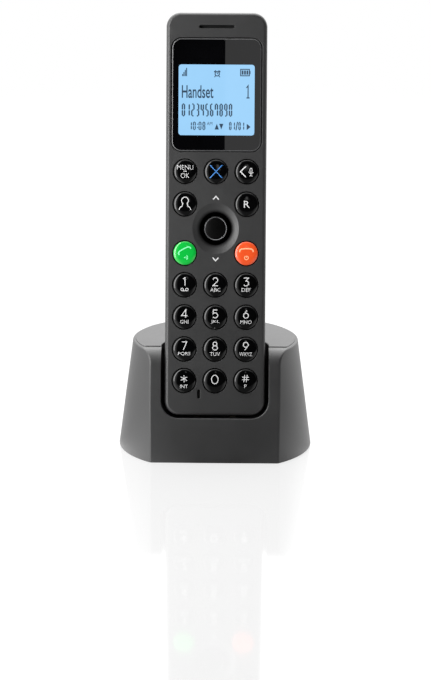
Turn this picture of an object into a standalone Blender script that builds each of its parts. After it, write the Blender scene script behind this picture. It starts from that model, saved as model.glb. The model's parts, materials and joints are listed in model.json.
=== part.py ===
"""Cordless telephone: a handset standing in its base station.

World frame: X to the right seen from the front, Y to the back, Z up, in metres.
The origin is on the table, under the middle of the base's outline.

Handset frame: the handset leans back by LEAN. Its meshes are built with x across, y into the
handset from its face, and z along it from the bottom end, then placed by place_in_handset().
"""

from math import asin, atan2, cos, pi, radians, sin, sqrt, tan

import bmesh
import bpy
from mathutils import Euler, Vector

MM = 0.001
NAME = "cordless_phone"

# ---------------------------------------------------------------- driving dimensions
LEAN = radians(11.0)
GAP = 0.3 * MM

# Handset body
HANDSET_WIDTH = 44.0 * MM
HANDSET_LENGTH = 176.0 * MM
HANDSET_DEPTH = 20.5 * MM
HANDSET_CORNER = 6.2 * MM
FACE_FILLET = 1.6 * MM
SIDE_DEPTH = 6.5 * MM
PARTING_DEPTH = 7.0 * MM
SHELL_WALL = 1.9 * MM
BACK_POWER = 2.6
BACK_END_POWER = 3.0
BACK_END_INSET = 5.0 * MM
BACK_LAST_ANGLE = radians(76.0)

# Keys
KEY_COLUMN = 13.5 * MM
KEY_HALF_WIDTH = 5.15 * MM
KEY_HALF_HEIGHT = 5.3 * MM
KEY_GAP = 0.35 * MM
KEY_RISE = 0.9 * MM
KEY_BOTTOM = 2.8 * MM
KEY_SEGMENTS = 18
SMALL_SEGMENTS = 12
DISH_SEGMENTS = 30
KEY_ROWS = {
    "menu": 107.0 * MM,
    "contacts": 92.8 * MM,
    "talk": 71.3 * MM,
    "digits_1": 57.4 * MM,
    "digits_4": 43.3 * MM,
    "digits_7": 29.2 * MM,
    "digits_star": 15.3 * MM,
}
KEYS = (
    ("key_menu_ok", -1, "menu", "key_black"),
    ("key_block", 0, "menu", "key_black"),
    ("key_back_mute", 1, "menu", "key_black"),
    ("key_contacts", -1, "contacts", "key_black"),
    ("key_recall", 1, "contacts", "key_black"),
    ("key_talk", -1, "talk", "key_green"),
    ("key_end", 1, "talk", "key_red"),
    ("key_1", -1, "digits_1", "key_black"),
    ("key_2", 0, "digits_1", "key_black"),
    ("key_3", 1, "digits_1", "key_black"),
    ("key_4", -1, "digits_4", "key_black"),
    ("key_5", 0, "digits_4", "key_black"),
    ("key_6", 1, "digits_4", "key_black"),
    ("key_7", -1, "digits_7", "key_black"),
    ("key_8", 0, "digits_7", "key_black"),
    ("key_9", 1, "digits_7", "key_black"),
    ("key_star", -1, "digits_star", "key_black"),
    ("key_0", 0, "digits_star", "key_black"),
    ("key_hash", 1, "digits_star", "key_black"),
)

# Dish and its joystick
DISH_HEIGHT = 82.1 * MM
DISH_HALF_WIDTH = 10.15 * MM
DISH_HALF_HEIGHT = 11.15 * MM
DISH_DEPTH = 2.0 * MM
DISH_BOSS_RADIUS = 9.0 * MM
DISH_BOSS_DEPTH = 3.4 * MM
STICK_HOLE_RADIUS = 3.0 * MM
STICK_HALF_WIDTH = 5.05 * MM
STICK_HALF_HEIGHT = 5.3 * MM
STICK_STEM_RADIUS = 1.6 * MM

# Display, earpiece and microphone
WINDOW_HALF_WIDTH = 19.45 * MM
WINDOW_LOW = 115.9 * MM
WINDOW_HIGH = 164.8 * MM
WINDOW_CORNER = 4.2 * MM
WINDOW_THICKNESS = 1.1 * MM
VIEW_HALF_WIDTH = 17.3 * MM
VIEW_LOW = 121.9 * MM
VIEW_HIGH = 154.4 * MM
SLOT_HALF_WIDTH = 7.7 * MM
SLOT_HALF_HEIGHT = 0.7 * MM
SLOT_HEIGHT = 169.9 * MM
MIC_ACROSS = -7.0 * MM
MIC_HEIGHT = 9.4 * MM

# Inside the handset
MAT_FRONT = 3.8 * MM
MAT_BACK = 4.7 * MM
BOARD_FRONT = 5.2 * MM
BOARD_BACK = 6.0 * MM
SCREW_ACROSS = 6.75 * MM
SCREW_HEIGHT = 99.9 * MM
CELL_RADIUS = 5.25 * MM
CELL_LENGTH = 44.5 * MM
CELL_ACROSS = 5.6 * MM
CELL_DEPTH = 12.85 * MM
CELL_BAY_LOW = 43.8 * MM
CELL_BAY_HIGH = 92.5 * MM
SPRING_LENGTH = 3.9 * MM
TRAY_HALF_WIDTH = 12.3 * MM
TRAY_LOW = 41.5 * MM
TRAY_HIGH = 104.0 * MM
TRAY_FRONT = 6.4 * MM
TRAY_BACK = 16.8 * MM
TRAY_WALL = 1.0 * MM
COVER_HALF_WIDTH = 16.0 * MM
COVER_LOW = 40.0 * MM
COVER_HIGH = 106.0 * MM
COVER_CORNER = 3.0 * MM
CONTACT_ACROSS = 8.0 * MM
CONTACT_DEPTH = 10.0 * MM

# Base station
BASE_RADIUS = 43.4 * MM
BASE_TOP_RADIUS = 36.9 * MM
BASE_HEIGHT = 49.5 * MM
BASE_BOTTOM = 0.8 * MM
BASE_FRONT = 33.0 * MM
BASE_FRONT_FILLET = 5.0 * MM
BASE_RIM_FILLET = 0.8 * MM
BASE_CREASE = 1.6 * MM
BASE_WALL = 2.0 * MM
BASE_CENTRE_Y = -0.5 * (BASE_RADIUS - BASE_FRONT)
BASE_TAPER = (BASE_RADIUS - BASE_TOP_RADIUS) / BASE_HEIGHT
ARC_STEPS = 46
CREASE_STEPS = 3
FILLET_STEPS = 4
POCKET_SIDE_GAP = 1.65 * MM
POCKET_END_GAP = 1.3 * MM
POCKET_BACK_GAP = 1.0 * MM
POCKET_WALL = 1.8 * MM
POCKET_TOP = 90.0 * MM
HANDSET_FOOT_Z = 21.0 * MM
HANDSET_SETBACK = 0.3 * MM

PLATE_BOTTOM = 1.0 * MM
PLATE_TOP = 3.4 * MM
FEET = {
    "foot_front_left": (-25.5 * MM, -18.5 * MM),
    "foot_front_right": (25.5 * MM, -18.5 * MM),
    "foot_back_left": (-18.0 * MM, 30.0 * MM),
    "foot_back_right": (18.0 * MM, 30.0 * MM),
}
FOOT_RADIUS = 4.5 * MM
FOOT_TOP = 1.6 * MM
BASE_SCREWS = {
    "base_screw_front_left": (-15.0 * MM, -22.0 * MM),
    "base_screw_front_right": (15.0 * MM, -22.0 * MM),
    "base_screw_back_left": (-24.0 * MM, 22.0 * MM),
    "base_screw_back_right": (24.0 * MM, 22.0 * MM),
}
BASE_BOARD_BOTTOM = 5.0 * MM
BASE_BOARD_TOP = 6.4 * MM
BASE_BOARD_HALF_WIDTH = 19.5 * MM
BASE_BOARD_FRONT = -16.0 * MM
BASE_BOARD_BACK = 34.0 * MM
LINE_SOCKET_X = -9.0 * MM
POWER_SOCKET_X = 9.0 * MM
SOCKET_FRONT = 25.5 * MM
SOCKET_BACK = 39.5 * MM
PAGE_HEIGHT = 32.0 * MM
PAGE_RADIUS = 4.5 * MM

HANDSET_ORIGIN = Vector((
    0.0,
    BASE_CENTRE_Y - BASE_FRONT + HANDSET_FOOT_Z * tan(LEAN) + HANDSET_SETBACK,
    HANDSET_FOOT_Z,
))
HANDSET_TURN = Euler((-LEAN, 0.0, 0.0))

# Colours are linear RGB.
COLOURS = {
    "shell_charcoal": ((0.032, 0.032, 0.034), 0.45, 0.0),
    "key_black": ((0.006, 0.006, 0.007), 0.12, 0.0),
    "key_green": ((0.004, 0.43, 0.03), 0.2, 0.0),
    "key_red": ((0.80, 0.08, 0.03), 0.2, 0.0),
    "window_black": ((0.004, 0.004, 0.005), 0.05, 0.0),
    "screen_blue": ((0.34, 0.65, 0.96), 0.3, 0.0),
    "diffuser_white": ((0.80, 0.80, 0.80), 0.5, 0.0),
    "board_green": ((0.01, 0.12, 0.04), 0.4, 0.0),
    "rubber_grey": ((0.05, 0.05, 0.05), 0.8, 0.0),
    "bare_steel": ((0.55, 0.55, 0.55), 0.3, 1.0),
    "gold_contact": ((0.83, 0.55, 0.20), 0.25, 1.0),
    "cell_sleeve": ((0.05, 0.20, 0.50), 0.35, 0.0),
    "part_black": ((0.01, 0.01, 0.01), 0.5, 0.0),
}


# ---------------------------------------------------------------- scene and materials
def clear_scene():
    for old in list(bpy.data.objects):
        bpy.data.objects.remove(old, do_unlink=True)


def new_collection(name):
    collection = bpy.data.collections.new(name)
    bpy.context.scene.collection.children.link(collection)
    return collection


def make_materials():
    made = {}
    for name, (colour, roughness, metallic) in COLOURS.items():
        material = bpy.data.materials.new(name)
        material.use_nodes = True
        shader = material.node_tree.nodes["Principled BSDF"]
        shader.inputs["Base Color"].default_value = (*colour, 1.0)
        shader.inputs["Roughness"].default_value = roughness
        shader.inputs["Metallic"].default_value = metallic
        made[name] = material
    return made


# ---------------------------------------------------------------- mesh builders
def add_part(name, mesh, material_name):
    """Link a mesh to the object's collection; with no material it is a cutter."""
    part = bpy.data.objects.new(name, mesh)
    if material_name is None:
        CUTTERS.objects.link(part)
        part.hide_render = True
        part.display_type = "WIRE"
        return part
    PARTS.objects.link(part)
    mesh.materials.append(MATERIALS[material_name])
    return part


def finish_mesh(bm, name, smooth=False):
    bmesh.ops.remove_doubles(bm, verts=bm.verts, dist=1e-7)
    bmesh.ops.recalc_face_normals(bm, faces=bm.faces)
    for face in bm.faces:
        face.smooth = smooth
    mesh = bpy.data.meshes.new(name)
    bm.to_mesh(mesh)
    bm.free()
    return mesh


def loft(name, rings, material_name, smooth=True):
    """Skin rings of equal length and close both ends."""
    bm = bmesh.new()
    rows = [[bm.verts.new(point) for point in ring] for ring in rings]
    count = len(rows[0])
    for lower, upper in zip(rows, rows[1:]):
        for i in range(count):
            j = (i + 1) % count
            bm.faces.new((lower[i], lower[j], upper[j], upper[i]))
    bm.faces.new(list(reversed(rows[0])))
    bm.faces.new(rows[-1])
    return add_part(name, finish_mesh(bm, name, smooth), material_name)


def turned(name, profile, material_name, segments=KEY_SEGMENTS, stretch=(1.0, 1.0), axis="Y"):
    """Spin a profile of (radius, position along the axis) and stretch it across that axis."""
    bm = bmesh.new()
    verts = [bm.verts.new((radius, 0.0, along)) for radius, along in profile]
    edges = [bm.edges.new(pair) for pair in zip(verts, verts[1:])]
    bmesh.ops.spin(
        bm, geom=verts + edges, cent=(0, 0, 0), axis=(0, 0, 1), angle=2 * pi, steps=segments,
        use_merge=True, use_duplicate=False,
    )
    for vert in bm.verts:
        x, y, z = vert.co
        x *= stretch[0]
        y *= stretch[1]
        vert.co = (x, z, y) if axis == "Y" else (x, y, z)
    return add_part(name, finish_mesh(bm, name, True), material_name)


def block(name, low, high, material_name):
    """A box between two corners."""
    bm = bmesh.new()
    bmesh.ops.create_cube(bm, size=1.0)
    for vert in bm.verts:
        vert.co = [lo + (hi - lo) * (c + 0.5) for lo, hi, c in zip(low, high, vert.co)]
    return add_part(name, finish_mesh(bm, name), material_name)


def rounded_outline(half_width, low, high, radius, steps):
    """Rounded rectangle as (across, along) points, with `steps` steps in each corner."""
    centres = (
        (half_width - radius, high - radius, 0.0),
        (radius - half_width, high - radius, 0.5 * pi),
        (radius - half_width, low + radius, pi),
        (half_width - radius, low + radius, 1.5 * pi),
    )
    points = []
    for centre_x, centre_z, start in centres:
        for step in range(steps + 1):
            angle = start + 0.5 * pi * step / steps
            points.append((centre_x + radius * cos(angle), centre_z + radius * sin(angle)))
    return points


def slab(name, outline, front, back, material_name, smooth=False):
    """An outline of (x, z) points given thickness along y."""
    rings = [[(x, y, z) for x, z in outline] for y in (front, back)]
    return loft(name, rings, material_name, smooth)


def join_cutters(name, pieces):
    """Join cutters that don't touch each other into one object, in the first one's frame."""
    bm = bmesh.new()
    for piece in pieces:
        piece.data.transform(piece.matrix_basis)
        bm.from_mesh(piece.data)
        bpy.data.objects.remove(piece, do_unlink=True)
    return add_part(name, finish_mesh(bm, name), None)


def combine(target, tool, operation="DIFFERENCE"):
    modifier = target.modifiers.new(f"{operation.lower()}_{tool.name}", "BOOLEAN")
    modifier.operation = operation
    modifier.solver = "EXACT"
    modifier.object = tool
    return target


def place_in_handset(part, across=0.0, depth=0.0, along=0.0):
    """Set a part's origin at a point of the handset frame, turned with the handset."""
    part.location = HANDSET_ORIGIN + HANDSET_TURN.to_matrix() @ Vector((across, depth, along))
    part.rotation_euler = HANDSET_TURN
    return part


def place_in_base(part, x=0.0, y=0.0, z=0.0):
    """Set a part's origin at a point measured from the middle of the base's round outline."""
    part.location = (x, BASE_CENTRE_Y + y, z)
    return part


# ---------------------------------------------------------------- handset outline
def handset_ring(depth, grow=0.0, grow_side=0.0, grow_end=0.0, grow_back=0.0, high=None, steps=6):
    """The handset's outline at a depth behind its face, grown (or shrunk) for walls and pockets."""
    inset_side = 0.0
    inset_end = 0.0
    first = -grow
    last = HANDSET_DEPTH + grow + grow_back
    fillet = max(FACE_FILLET + grow, 0.2 * MM)
    if depth < first + fillet:
        inset_side = fillet - sqrt(max(fillet ** 2 - (first + fillet - depth) ** 2, 0.0))
        inset_end = inset_side
    share = min(max((depth - SIDE_DEPTH) / (last - SIDE_DEPTH), 0.0), 1.0)
    last_reach = sin(BACK_LAST_ANGLE) ** (2.0 / BACK_POWER)
    half = 0.5 * HANDSET_WIDTH + grow + grow_side
    half_back = half * (1.0 - (share * last_reach) ** BACK_POWER) ** (1.0 / BACK_POWER)
    inset_end += BACK_END_INSET * (1.0 - (1.0 - share ** BACK_END_POWER) ** (1.0 / BACK_END_POWER))
    half = half_back - inset_side
    end = grow + grow_end - inset_end
    top = high if high is not None else HANDSET_LENGTH + end
    radius = min(HANDSET_CORNER + grow + max(grow_side, grow_end) - inset_side, half * 0.98)
    outline = rounded_outline(half, -end, top, max(radius, 0.5 * MM), steps)
    return [(x, depth, z) for x, z in outline]


def back_depths(last, count=7):
    """Depths from the parting line to the back, closer together where the back curves most."""
    start = SIDE_DEPTH
    angles = [0.5 * pi * (i + 1) / count for i in range(count)]
    return [start + (last - start) * sin(angle) for angle in angles]


def handset_solid(name, front, back, material_name, grow=0.0):
    """The handset's form between two depths."""
    depths = {front, back}
    fillet_steps = 4
    first = -grow
    fillet = max(FACE_FILLET + grow, 0.2 * MM)
    for step in range(fillet_steps + 1):
        depths.add(first + fillet * (1.0 - cos(0.5 * pi * step / fillet_steps)))
    depths.update(back_depths(HANDSET_DEPTH + grow))
    depths.add(SIDE_DEPTH)
    inside = sorted(d for d in depths if front - 1e-9 <= d <= back + 1e-9)
    rings = [handset_ring(depth, grow) for depth in inside]
    return place_in_handset(loft(name, rings, material_name))


# ---------------------------------------------------------------- handset shells
def key_places():
    for name, column, row, material_name in KEYS:
        yield name, column * KEY_COLUMN, KEY_ROWS[row], material_name


def key_hole_cutter():
    stretch = (KEY_HALF_WIDTH + KEY_GAP, KEY_HALF_HEIGHT + KEY_GAP)
    holes = []
    for name, across, along, _material in key_places():
        profile = [(0, -2 * MM), (1, -2 * MM), (1, 3 * MM), (0, 3 * MM)]
        hole = turned(f"hole_{name}", profile, None, stretch=stretch)
        hole.location = (across, 0.0, along)
        holes.append(hole)
    return place_in_handset(join_cutters("key_holes", holes))


def window_recess_cutter():
    outline = rounded_outline(
        WINDOW_HALF_WIDTH + GAP, WINDOW_LOW - GAP, WINDOW_HIGH + GAP, WINDOW_CORNER + GAP, 8,
    )
    return place_in_handset(slab("window_recess", outline, -1 * MM, WINDOW_THICKNESS + GAP, None))


def small_openings_cutter():
    view = rounded_outline(VIEW_HALF_WIDTH, VIEW_LOW, VIEW_HIGH, 1.2 * MM, 3)
    low = SLOT_HEIGHT - SLOT_HALF_HEIGHT
    high = SLOT_HEIGHT + SLOT_HALF_HEIGHT
    earpiece = rounded_outline(SLOT_HALF_WIDTH, low, high, 0.98 * SLOT_HALF_HEIGHT, 4)
    mic = rounded_outline(0.6 * MM, -2.05 * MM, 2.05 * MM, 0.55 * MM, 3)
    mic = [(MIC_ACROSS + x, MIC_HEIGHT + z) for x, z in mic]
    pieces = [
        slab("view_opening", view, -1 * MM, 3 * MM, None),
        slab("earpiece_slot", earpiece, -1 * MM, 3 * MM, None),
        slab("microphone_slit", mic, -1 * MM, 3 * MM, None),
    ]
    for side in (-1, 1):
        profile = [(0, 2.3 * MM), (1.3 * MM, 2.3 * MM), (1.3 * MM, 6 * MM), (0, 6 * MM)]
        bore = turned("screw_bore", profile, None, segments=SMALL_SEGMENTS)
        bore.location = (side * SCREW_ACROSS, 0.0, SCREW_HEIGHT)
        pieces.append(bore)
    return place_in_handset(join_cutters("front_openings", pieces))


def dish_cutter():
    """A shallow bowl, with the joystick's hole through its floor."""
    reach = 1.05
    steps = 5
    profile = [(0.0, 5 * MM)]
    hole = STICK_HOLE_RADIUS / DISH_HALF_WIDTH
    profile.append((hole, 5 * MM))
    for step in range(steps + 1):
        share = hole + (reach - hole) * step / steps
        profile.append((share, DISH_DEPTH * (1.0 - share ** 2)))
    profile.append((reach, -3 * MM))
    profile.append((0.0, -3 * MM))
    bowl = turned("dish_bowl", profile, None, segments=DISH_SEGMENTS,
                  stretch=(DISH_HALF_WIDTH, DISH_HALF_HEIGHT))
    return place_in_handset(bowl, 0.0, 0.0, DISH_HEIGHT)


def front_bosses():
    """Material behind the dish and round the two screws, added to the front shell."""
    profile = [(0, 1.0 * MM), (1, 1.0 * MM), (1, DISH_BOSS_DEPTH), (0, DISH_BOSS_DEPTH)]
    dish = turned("dish_boss", profile, None, segments=SMALL_SEGMENTS,
                  stretch=(DISH_BOSS_RADIUS, DISH_BOSS_RADIUS + 1 * MM))
    dish.location = (0.0, 0.0, DISH_HEIGHT)
    pieces = [dish]
    for side in (-1, 1):
        profile = [(0, 1 * MM), (2.8 * MM, 1 * MM), (2.8 * MM, 4.9 * MM), (0, 4.9 * MM)]
        post = turned("screw_post", profile, None, segments=SMALL_SEGMENTS)
        post.location = (side * SCREW_ACROSS, 0.0, SCREW_HEIGHT)
        pieces.append(post)
    return place_in_handset(join_cutters("front_bosses", pieces))


def make_front_shell():
    shell = handset_solid("handset_front_shell", 0.0, PARTING_DEPTH - 0.5 * GAP, "shell_charcoal")
    hollow = handset_solid("front_hollow", SHELL_WALL, PARTING_DEPTH + 2 * MM, None, -SHELL_WALL)
    combine(shell, hollow)
    combine(shell, key_hole_cutter())
    combine(shell, window_recess_cutter())
    combine(shell, front_bosses(), "UNION")
    combine(shell, dish_cutter())
    combine(shell, small_openings_cutter())


def cover_outline(margin=0.0):
    return rounded_outline(
        COVER_HALF_WIDTH + margin, COVER_LOW - margin, COVER_HIGH + margin,
        COVER_CORNER + margin, 5,
    )


def back_openings_cutter():
    """Sound slots over the loudspeaker and the two openings for the charging contacts."""
    pieces = []
    for row in range(5):
        middle = (136.0 + 3.2 * row) * MM
        outline = rounded_outline(6.5 * MM, middle - 0.6 * MM, middle + 0.6 * MM, 0.55 * MM, 3)
        pieces.append(slab("sound_slot", outline, 17 * MM, 23 * MM, None))
    for side in (-1, 1):
        middle = side * CONTACT_ACROSS
        low = (middle - 2.8 * MM, CONTACT_DEPTH - 2.3 * MM, -2 * MM)
        high = (middle + 2.8 * MM, CONTACT_DEPTH + 2.3 * MM, 4 * MM)
        pieces.append(block("contact_opening", low, high, None))
    return place_in_handset(join_cutters("back_openings", pieces))


def make_rear_shell():
    shell = handset_solid(
        "handset_rear_shell", PARTING_DEPTH + 0.5 * GAP, HANDSET_DEPTH, "shell_charcoal")
    hollow = handset_solid(
        "rear_hollow", PARTING_DEPTH - 2 * MM, HANDSET_DEPTH - SHELL_WALL, None, -SHELL_WALL)
    combine(shell, hollow)
    opening = slab("cover_opening", cover_outline(GAP), 14 * MM, 24 * MM, None)
    combine(shell, place_in_handset(opening))
    combine(shell, back_openings_cutter())


def make_battery_cover():
    """The part of the rear wall over the cells, cut out as its own lid."""
    cover = handset_solid(
        "battery_cover", PARTING_DEPTH + 0.5 * GAP, HANDSET_DEPTH, "shell_charcoal")
    lid = slab("cover_form", cover_outline(), 14 * MM, 24 * MM, None)
    combine(cover, place_in_handset(lid), "INTERSECT")
    hollow = handset_solid(
        "cover_hollow", PARTING_DEPTH - 2 * MM, HANDSET_DEPTH - SHELL_WALL, None, -SHELL_WALL)
    combine(cover, hollow)


# ---------------------------------------------------------------- handset face parts
def make_window():
    outline = rounded_outline(WINDOW_HALF_WIDTH, WINDOW_LOW, WINDOW_HIGH, WINDOW_CORNER, 8)
    window = slab("display_window", outline, 0.0, WINDOW_THICKNESS, "window_black")
    place_in_handset(window)


def make_key(name, across, along, material_name):
    """A domed cap that slides in the shell, with a flange that keeps it in."""
    dome_steps = 3
    edge = -0.1 * MM
    flange = 1.0 + 0.5 * MM / KEY_HALF_WIDTH
    profile = [(0.0, KEY_BOTTOM), (flange, KEY_BOTTOM), (flange, KEY_BOTTOM - 0.5 * MM),
               (1.0, KEY_BOTTOM - 0.5 * MM), (1.0, edge)]
    for step in range(1, dome_steps + 1):
        angle = 0.5 * pi * step / dome_steps
        profile.append((cos(angle), edge - (KEY_RISE + edge) * sin(angle)))
    key = turned(name, profile, material_name, stretch=(KEY_HALF_WIDTH, KEY_HALF_HEIGHT))
    place_in_handset(key, across, 0.0, along)


def make_joystick():
    """A mushroom cap on a stem; its origin is at the foot of the stem, where it pivots."""
    foot = DISH_BOSS_DEPTH
    stem = STICK_STEM_RADIUS / STICK_HALF_WIDTH
    profile = [(0.0, 0.0), (stem, 0.0), (stem, 0.9 * MM - foot), (0.94, 0.75 * MM - foot),
               (1.0, 0.5 * MM - foot), (0.97, 0.15 * MM - foot), (0.8, -0.2 * MM - foot),
               (0.5, -0.42 * MM - foot), (0.0, -0.5 * MM - foot)]
    stick = turned("nav_joystick", profile, "key_black",
                   stretch=(STICK_HALF_WIDTH, STICK_HALF_HEIGHT))
    place_in_handset(stick, 0.0, foot, DISH_HEIGHT)


# ---------------------------------------------------------------- inside the handset
def make_display_stack():
    outline = rounded_outline(18.4 * MM, 120.0 * MM, 156.3 * MM, 0.8 * MM, 2)
    place_in_handset(slab("lcd_panel", outline, 2.3 * MM, 3.5 * MM, "screen_blue"))
    outline = rounded_outline(18.0 * MM, 118.5 * MM, 156.0 * MM, 0.8 * MM, 2)
    place_in_handset(slab("lcd_backlight", outline, 3.8 * MM, 4.9 * MM, "diffuser_white"))


def screw_hole_cutter(name, radius, front, back):
    holes = []
    for side in (-1, 1):
        profile = [(0, front), (radius, front), (radius, back), (0, back)]
        hole = turned("screw_hole", profile, None, segments=SMALL_SEGMENTS)
        hole.location = (side * SCREW_ACROSS, 0.0, SCREW_HEIGHT)
        holes.append(hole)
    return place_in_handset(join_cutters(name, holes))


def make_handset_board():
    outline = rounded_outline(19.0 * MM, 7.0 * MM, 165.0 * MM, 3.0 * MM, 3)
    board = slab("handset_board", outline, BOARD_FRONT, BOARD_BACK, "board_green")
    place_in_handset(board)
    combine(board, screw_hole_cutter("board_holes", 1.3 * MM, 4 * MM, 8 * MM))


def make_keypad_mat():
    outline = rounded_outline(19.2 * MM, 8.5 * MM, 113.5 * MM, 4.0 * MM, 4)
    mat = slab("keypad_mat", outline, MAT_FRONT, MAT_BACK, "rubber_grey")
    place_in_handset(mat)
    profile = [(0, 3 * MM), (4.4 * MM, 3 * MM), (4.4 * MM, 6 * MM), (0, 6 * MM)]
    hole = turned("switch_hole", profile, None, segments=SMALL_SEGMENTS)
    combine(mat, place_in_handset(hole, 0.0, 0.0, DISH_HEIGHT))
    combine(mat, screw_hole_cutter("mat_holes", 3.2 * MM, 3 * MM, 6 * MM))


def make_joystick_switch():
    profile = [(0, 3.7 * MM), (2.2 * MM, 3.7 * MM), (2.2 * MM, 4.2 * MM), (3.5 * MM, 4.2 * MM),
               (3.5 * MM, 4.95 * MM), (0, 4.95 * MM)]
    switch = turned("joystick_switch", profile, "bare_steel", segments=SMALL_SEGMENTS)
    place_in_handset(switch, 0.0, 0.0, DISH_HEIGHT)


def make_sound_parts():
    outline = rounded_outline(7.5 * MM, 167.0 * MM, 173.2 * MM, 1.5 * MM, 3)
    place_in_handset(slab("earpiece_receiver", outline, 2.3 * MM, 5.0 * MM, "part_black"))
    profile = [(0, 2.3 * MM), (2.0 * MM, 2.3 * MM), (2.0 * MM, 3.5 * MM), (0, 3.5 * MM)]
    mic = turned("microphone", profile, "bare_steel", segments=SMALL_SEGMENTS)
    place_in_handset(mic, MIC_ACROSS, 0.0, MIC_HEIGHT)
    profile = [(0, 13.5 * MM), (6 * MM, 13.5 * MM), (6 * MM, 15 * MM), (10 * MM, 15.6 * MM),
               (10 * MM, 17 * MM), (8.5 * MM, 17.6 * MM), (0, 16.6 * MM)]
    speaker = turned("hands_free_speaker", profile, "part_black")
    place_in_handset(speaker, 0.0, 0.0, 142.4 * MM)


def make_battery_tray():
    half = TRAY_HALF_WIDTH
    low = (-half, TRAY_FRONT, TRAY_LOW)
    high = (half, TRAY_BACK, TRAY_HIGH)
    tray = place_in_handset(block("battery_tray", low, high, "part_black"))
    inner = half - TRAY_WALL
    floor = TRAY_FRONT + 0.8 * MM
    bays = (
        ("cell_bay", TRAY_LOW + 1.2 * MM, 93.6 * MM),
        ("screw_bay", 94.8 * MM, TRAY_HIGH - 1.2 * MM),
    )
    pieces = [
        block(name, (-inner, floor, start), (inner, TRAY_BACK + 2 * MM, end), None)
        for name, start, end in bays
    ]
    combine(tray, place_in_handset(join_cutters("tray_bays", pieces)))
    combine(tray, screw_hole_cutter("tray_holes", 1.3 * MM, 5 * MM, 9 * MM))


def cell_profile():
    """A cell from its flat end at 0 to the tip of its nub at CELL_LENGTH."""
    shoulder = CELL_LENGTH - 0.9 * MM
    return [
        (0.0, 0.0), (CELL_RADIUS - 0.4 * MM, 0.0), (CELL_RADIUS, 0.4 * MM),
        (CELL_RADIUS, shoulder - 0.4 * MM), (CELL_RADIUS - 0.4 * MM, shoulder),
        (1.9 * MM, shoulder), (1.9 * MM, CELL_LENGTH - 0.1 * MM),
        (1.7 * MM, CELL_LENGTH), (0.0, CELL_LENGTH),
    ]


def make_spring(name, across, start, direction):
    """A conical coil along the handset, wide at the contact plate and narrow at the cell."""
    turns = 2
    steps_per_turn = 10
    wire = 0.25 * MM
    wire_sides = 4
    count = int(turns * steps_per_turn)
    rings = []
    for step in range(count + 1):
        share = step / count
        radius = (3.6 - 1.4 * share) * MM
        angle = 2 * pi * turns * share
        centre = wire + (SPRING_LENGTH - 2 * wire) * share
        ring = []
        for side in range(wire_sides):
            turn = 2 * pi * side / wire_sides
            reach = radius + wire * cos(turn)
            ring.append((reach * cos(angle), reach * sin(angle),
                         direction * (centre + wire * sin(turn))))
        rings.append(ring)
    spring = loft(name, rings, "bare_steel")
    place_in_handset(spring, across, CELL_DEPTH, start)


def make_cells_and_contacts():
    left = turned("battery_cell_left", cell_profile(), "cell_sleeve", axis="Z")
    place_in_handset(left, -CELL_ACROSS, CELL_DEPTH, CELL_BAY_HIGH - CELL_LENGTH)
    flipped = [(radius, -along) for radius, along in cell_profile()]
    right = turned("battery_cell_right", flipped, "cell_sleeve", axis="Z")
    place_in_handset(right, CELL_ACROSS, CELL_DEPTH, CELL_BAY_LOW + CELL_LENGTH)
    make_spring("battery_spring_left", -CELL_ACROSS, CELL_BAY_LOW, 1)
    make_spring("battery_spring_right", CELL_ACROSS, CELL_BAY_HIGH, -1)
    plates = (
        ("battery_contact_lower", CELL_BAY_LOW - GAP - 0.5 * MM, CELL_BAY_LOW - GAP),
        ("battery_contact_upper", CELL_BAY_HIGH + GAP, CELL_BAY_HIGH + GAP + 0.5 * MM),
    )
    for name, start, end in plates:
        low = (-10.8 * MM, 8 * MM, start)
        high = (10.8 * MM, 16.5 * MM, end)
        place_in_handset(block(name, low, high, "bare_steel"))


def make_handset_screws():
    profile = [(0, 2.7 * MM), (1.0 * MM, 2.7 * MM), (1.0 * MM, 7.5 * MM), (2.1 * MM, 7.5 * MM),
               (2.1 * MM, 8.3 * MM), (1.6 * MM, 8.8 * MM), (0, 8.8 * MM)]
    for name, side in (("handset_screw_left", -1), ("handset_screw_right", 1)):
        screw = turned(name, profile, "bare_steel", segments=SMALL_SEGMENTS)
        place_in_handset(screw, side * SCREW_ACROSS, 0.0, SCREW_HEIGHT)


def make_charge_contacts():
    for name, side in (("charge_contact_left", -1), ("charge_contact_right", 1)):
        low = (-2.5 * MM, -2.0 * MM, -0.1 * MM)
        high = (2.5 * MM, 2.0 * MM, 1.4 * MM)
        contact = block(name, low, high, "gold_contact")
        place_in_handset(contact, side * CONTACT_ACROSS, CONTACT_DEPTH, 0.0)


# ---------------------------------------------------------------- base outline
def front_line(z):
    """How far in front of the round outline's middle the flat front is, at a height."""
    turn = 0.5 * pi - LEAN
    tangent = BASE_FRONT_FILLET * tan(0.5 * turn)
    start = BASE_HEIGHT - tangent * cos(LEAN)
    plane = BASE_FRONT - z * tan(LEAN)
    if z <= start:
        return plane
    centre_z = BASE_HEIGHT - BASE_FRONT_FILLET
    corner = BASE_FRONT - BASE_HEIGHT * tan(LEAN)
    centre_front = corner - tangent
    rise = min(max((z - centre_z) / BASE_FRONT_FILLET, -1.0), 1.0)
    return centre_front + BASE_FRONT_FILLET * cos(asin(rise))


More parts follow.
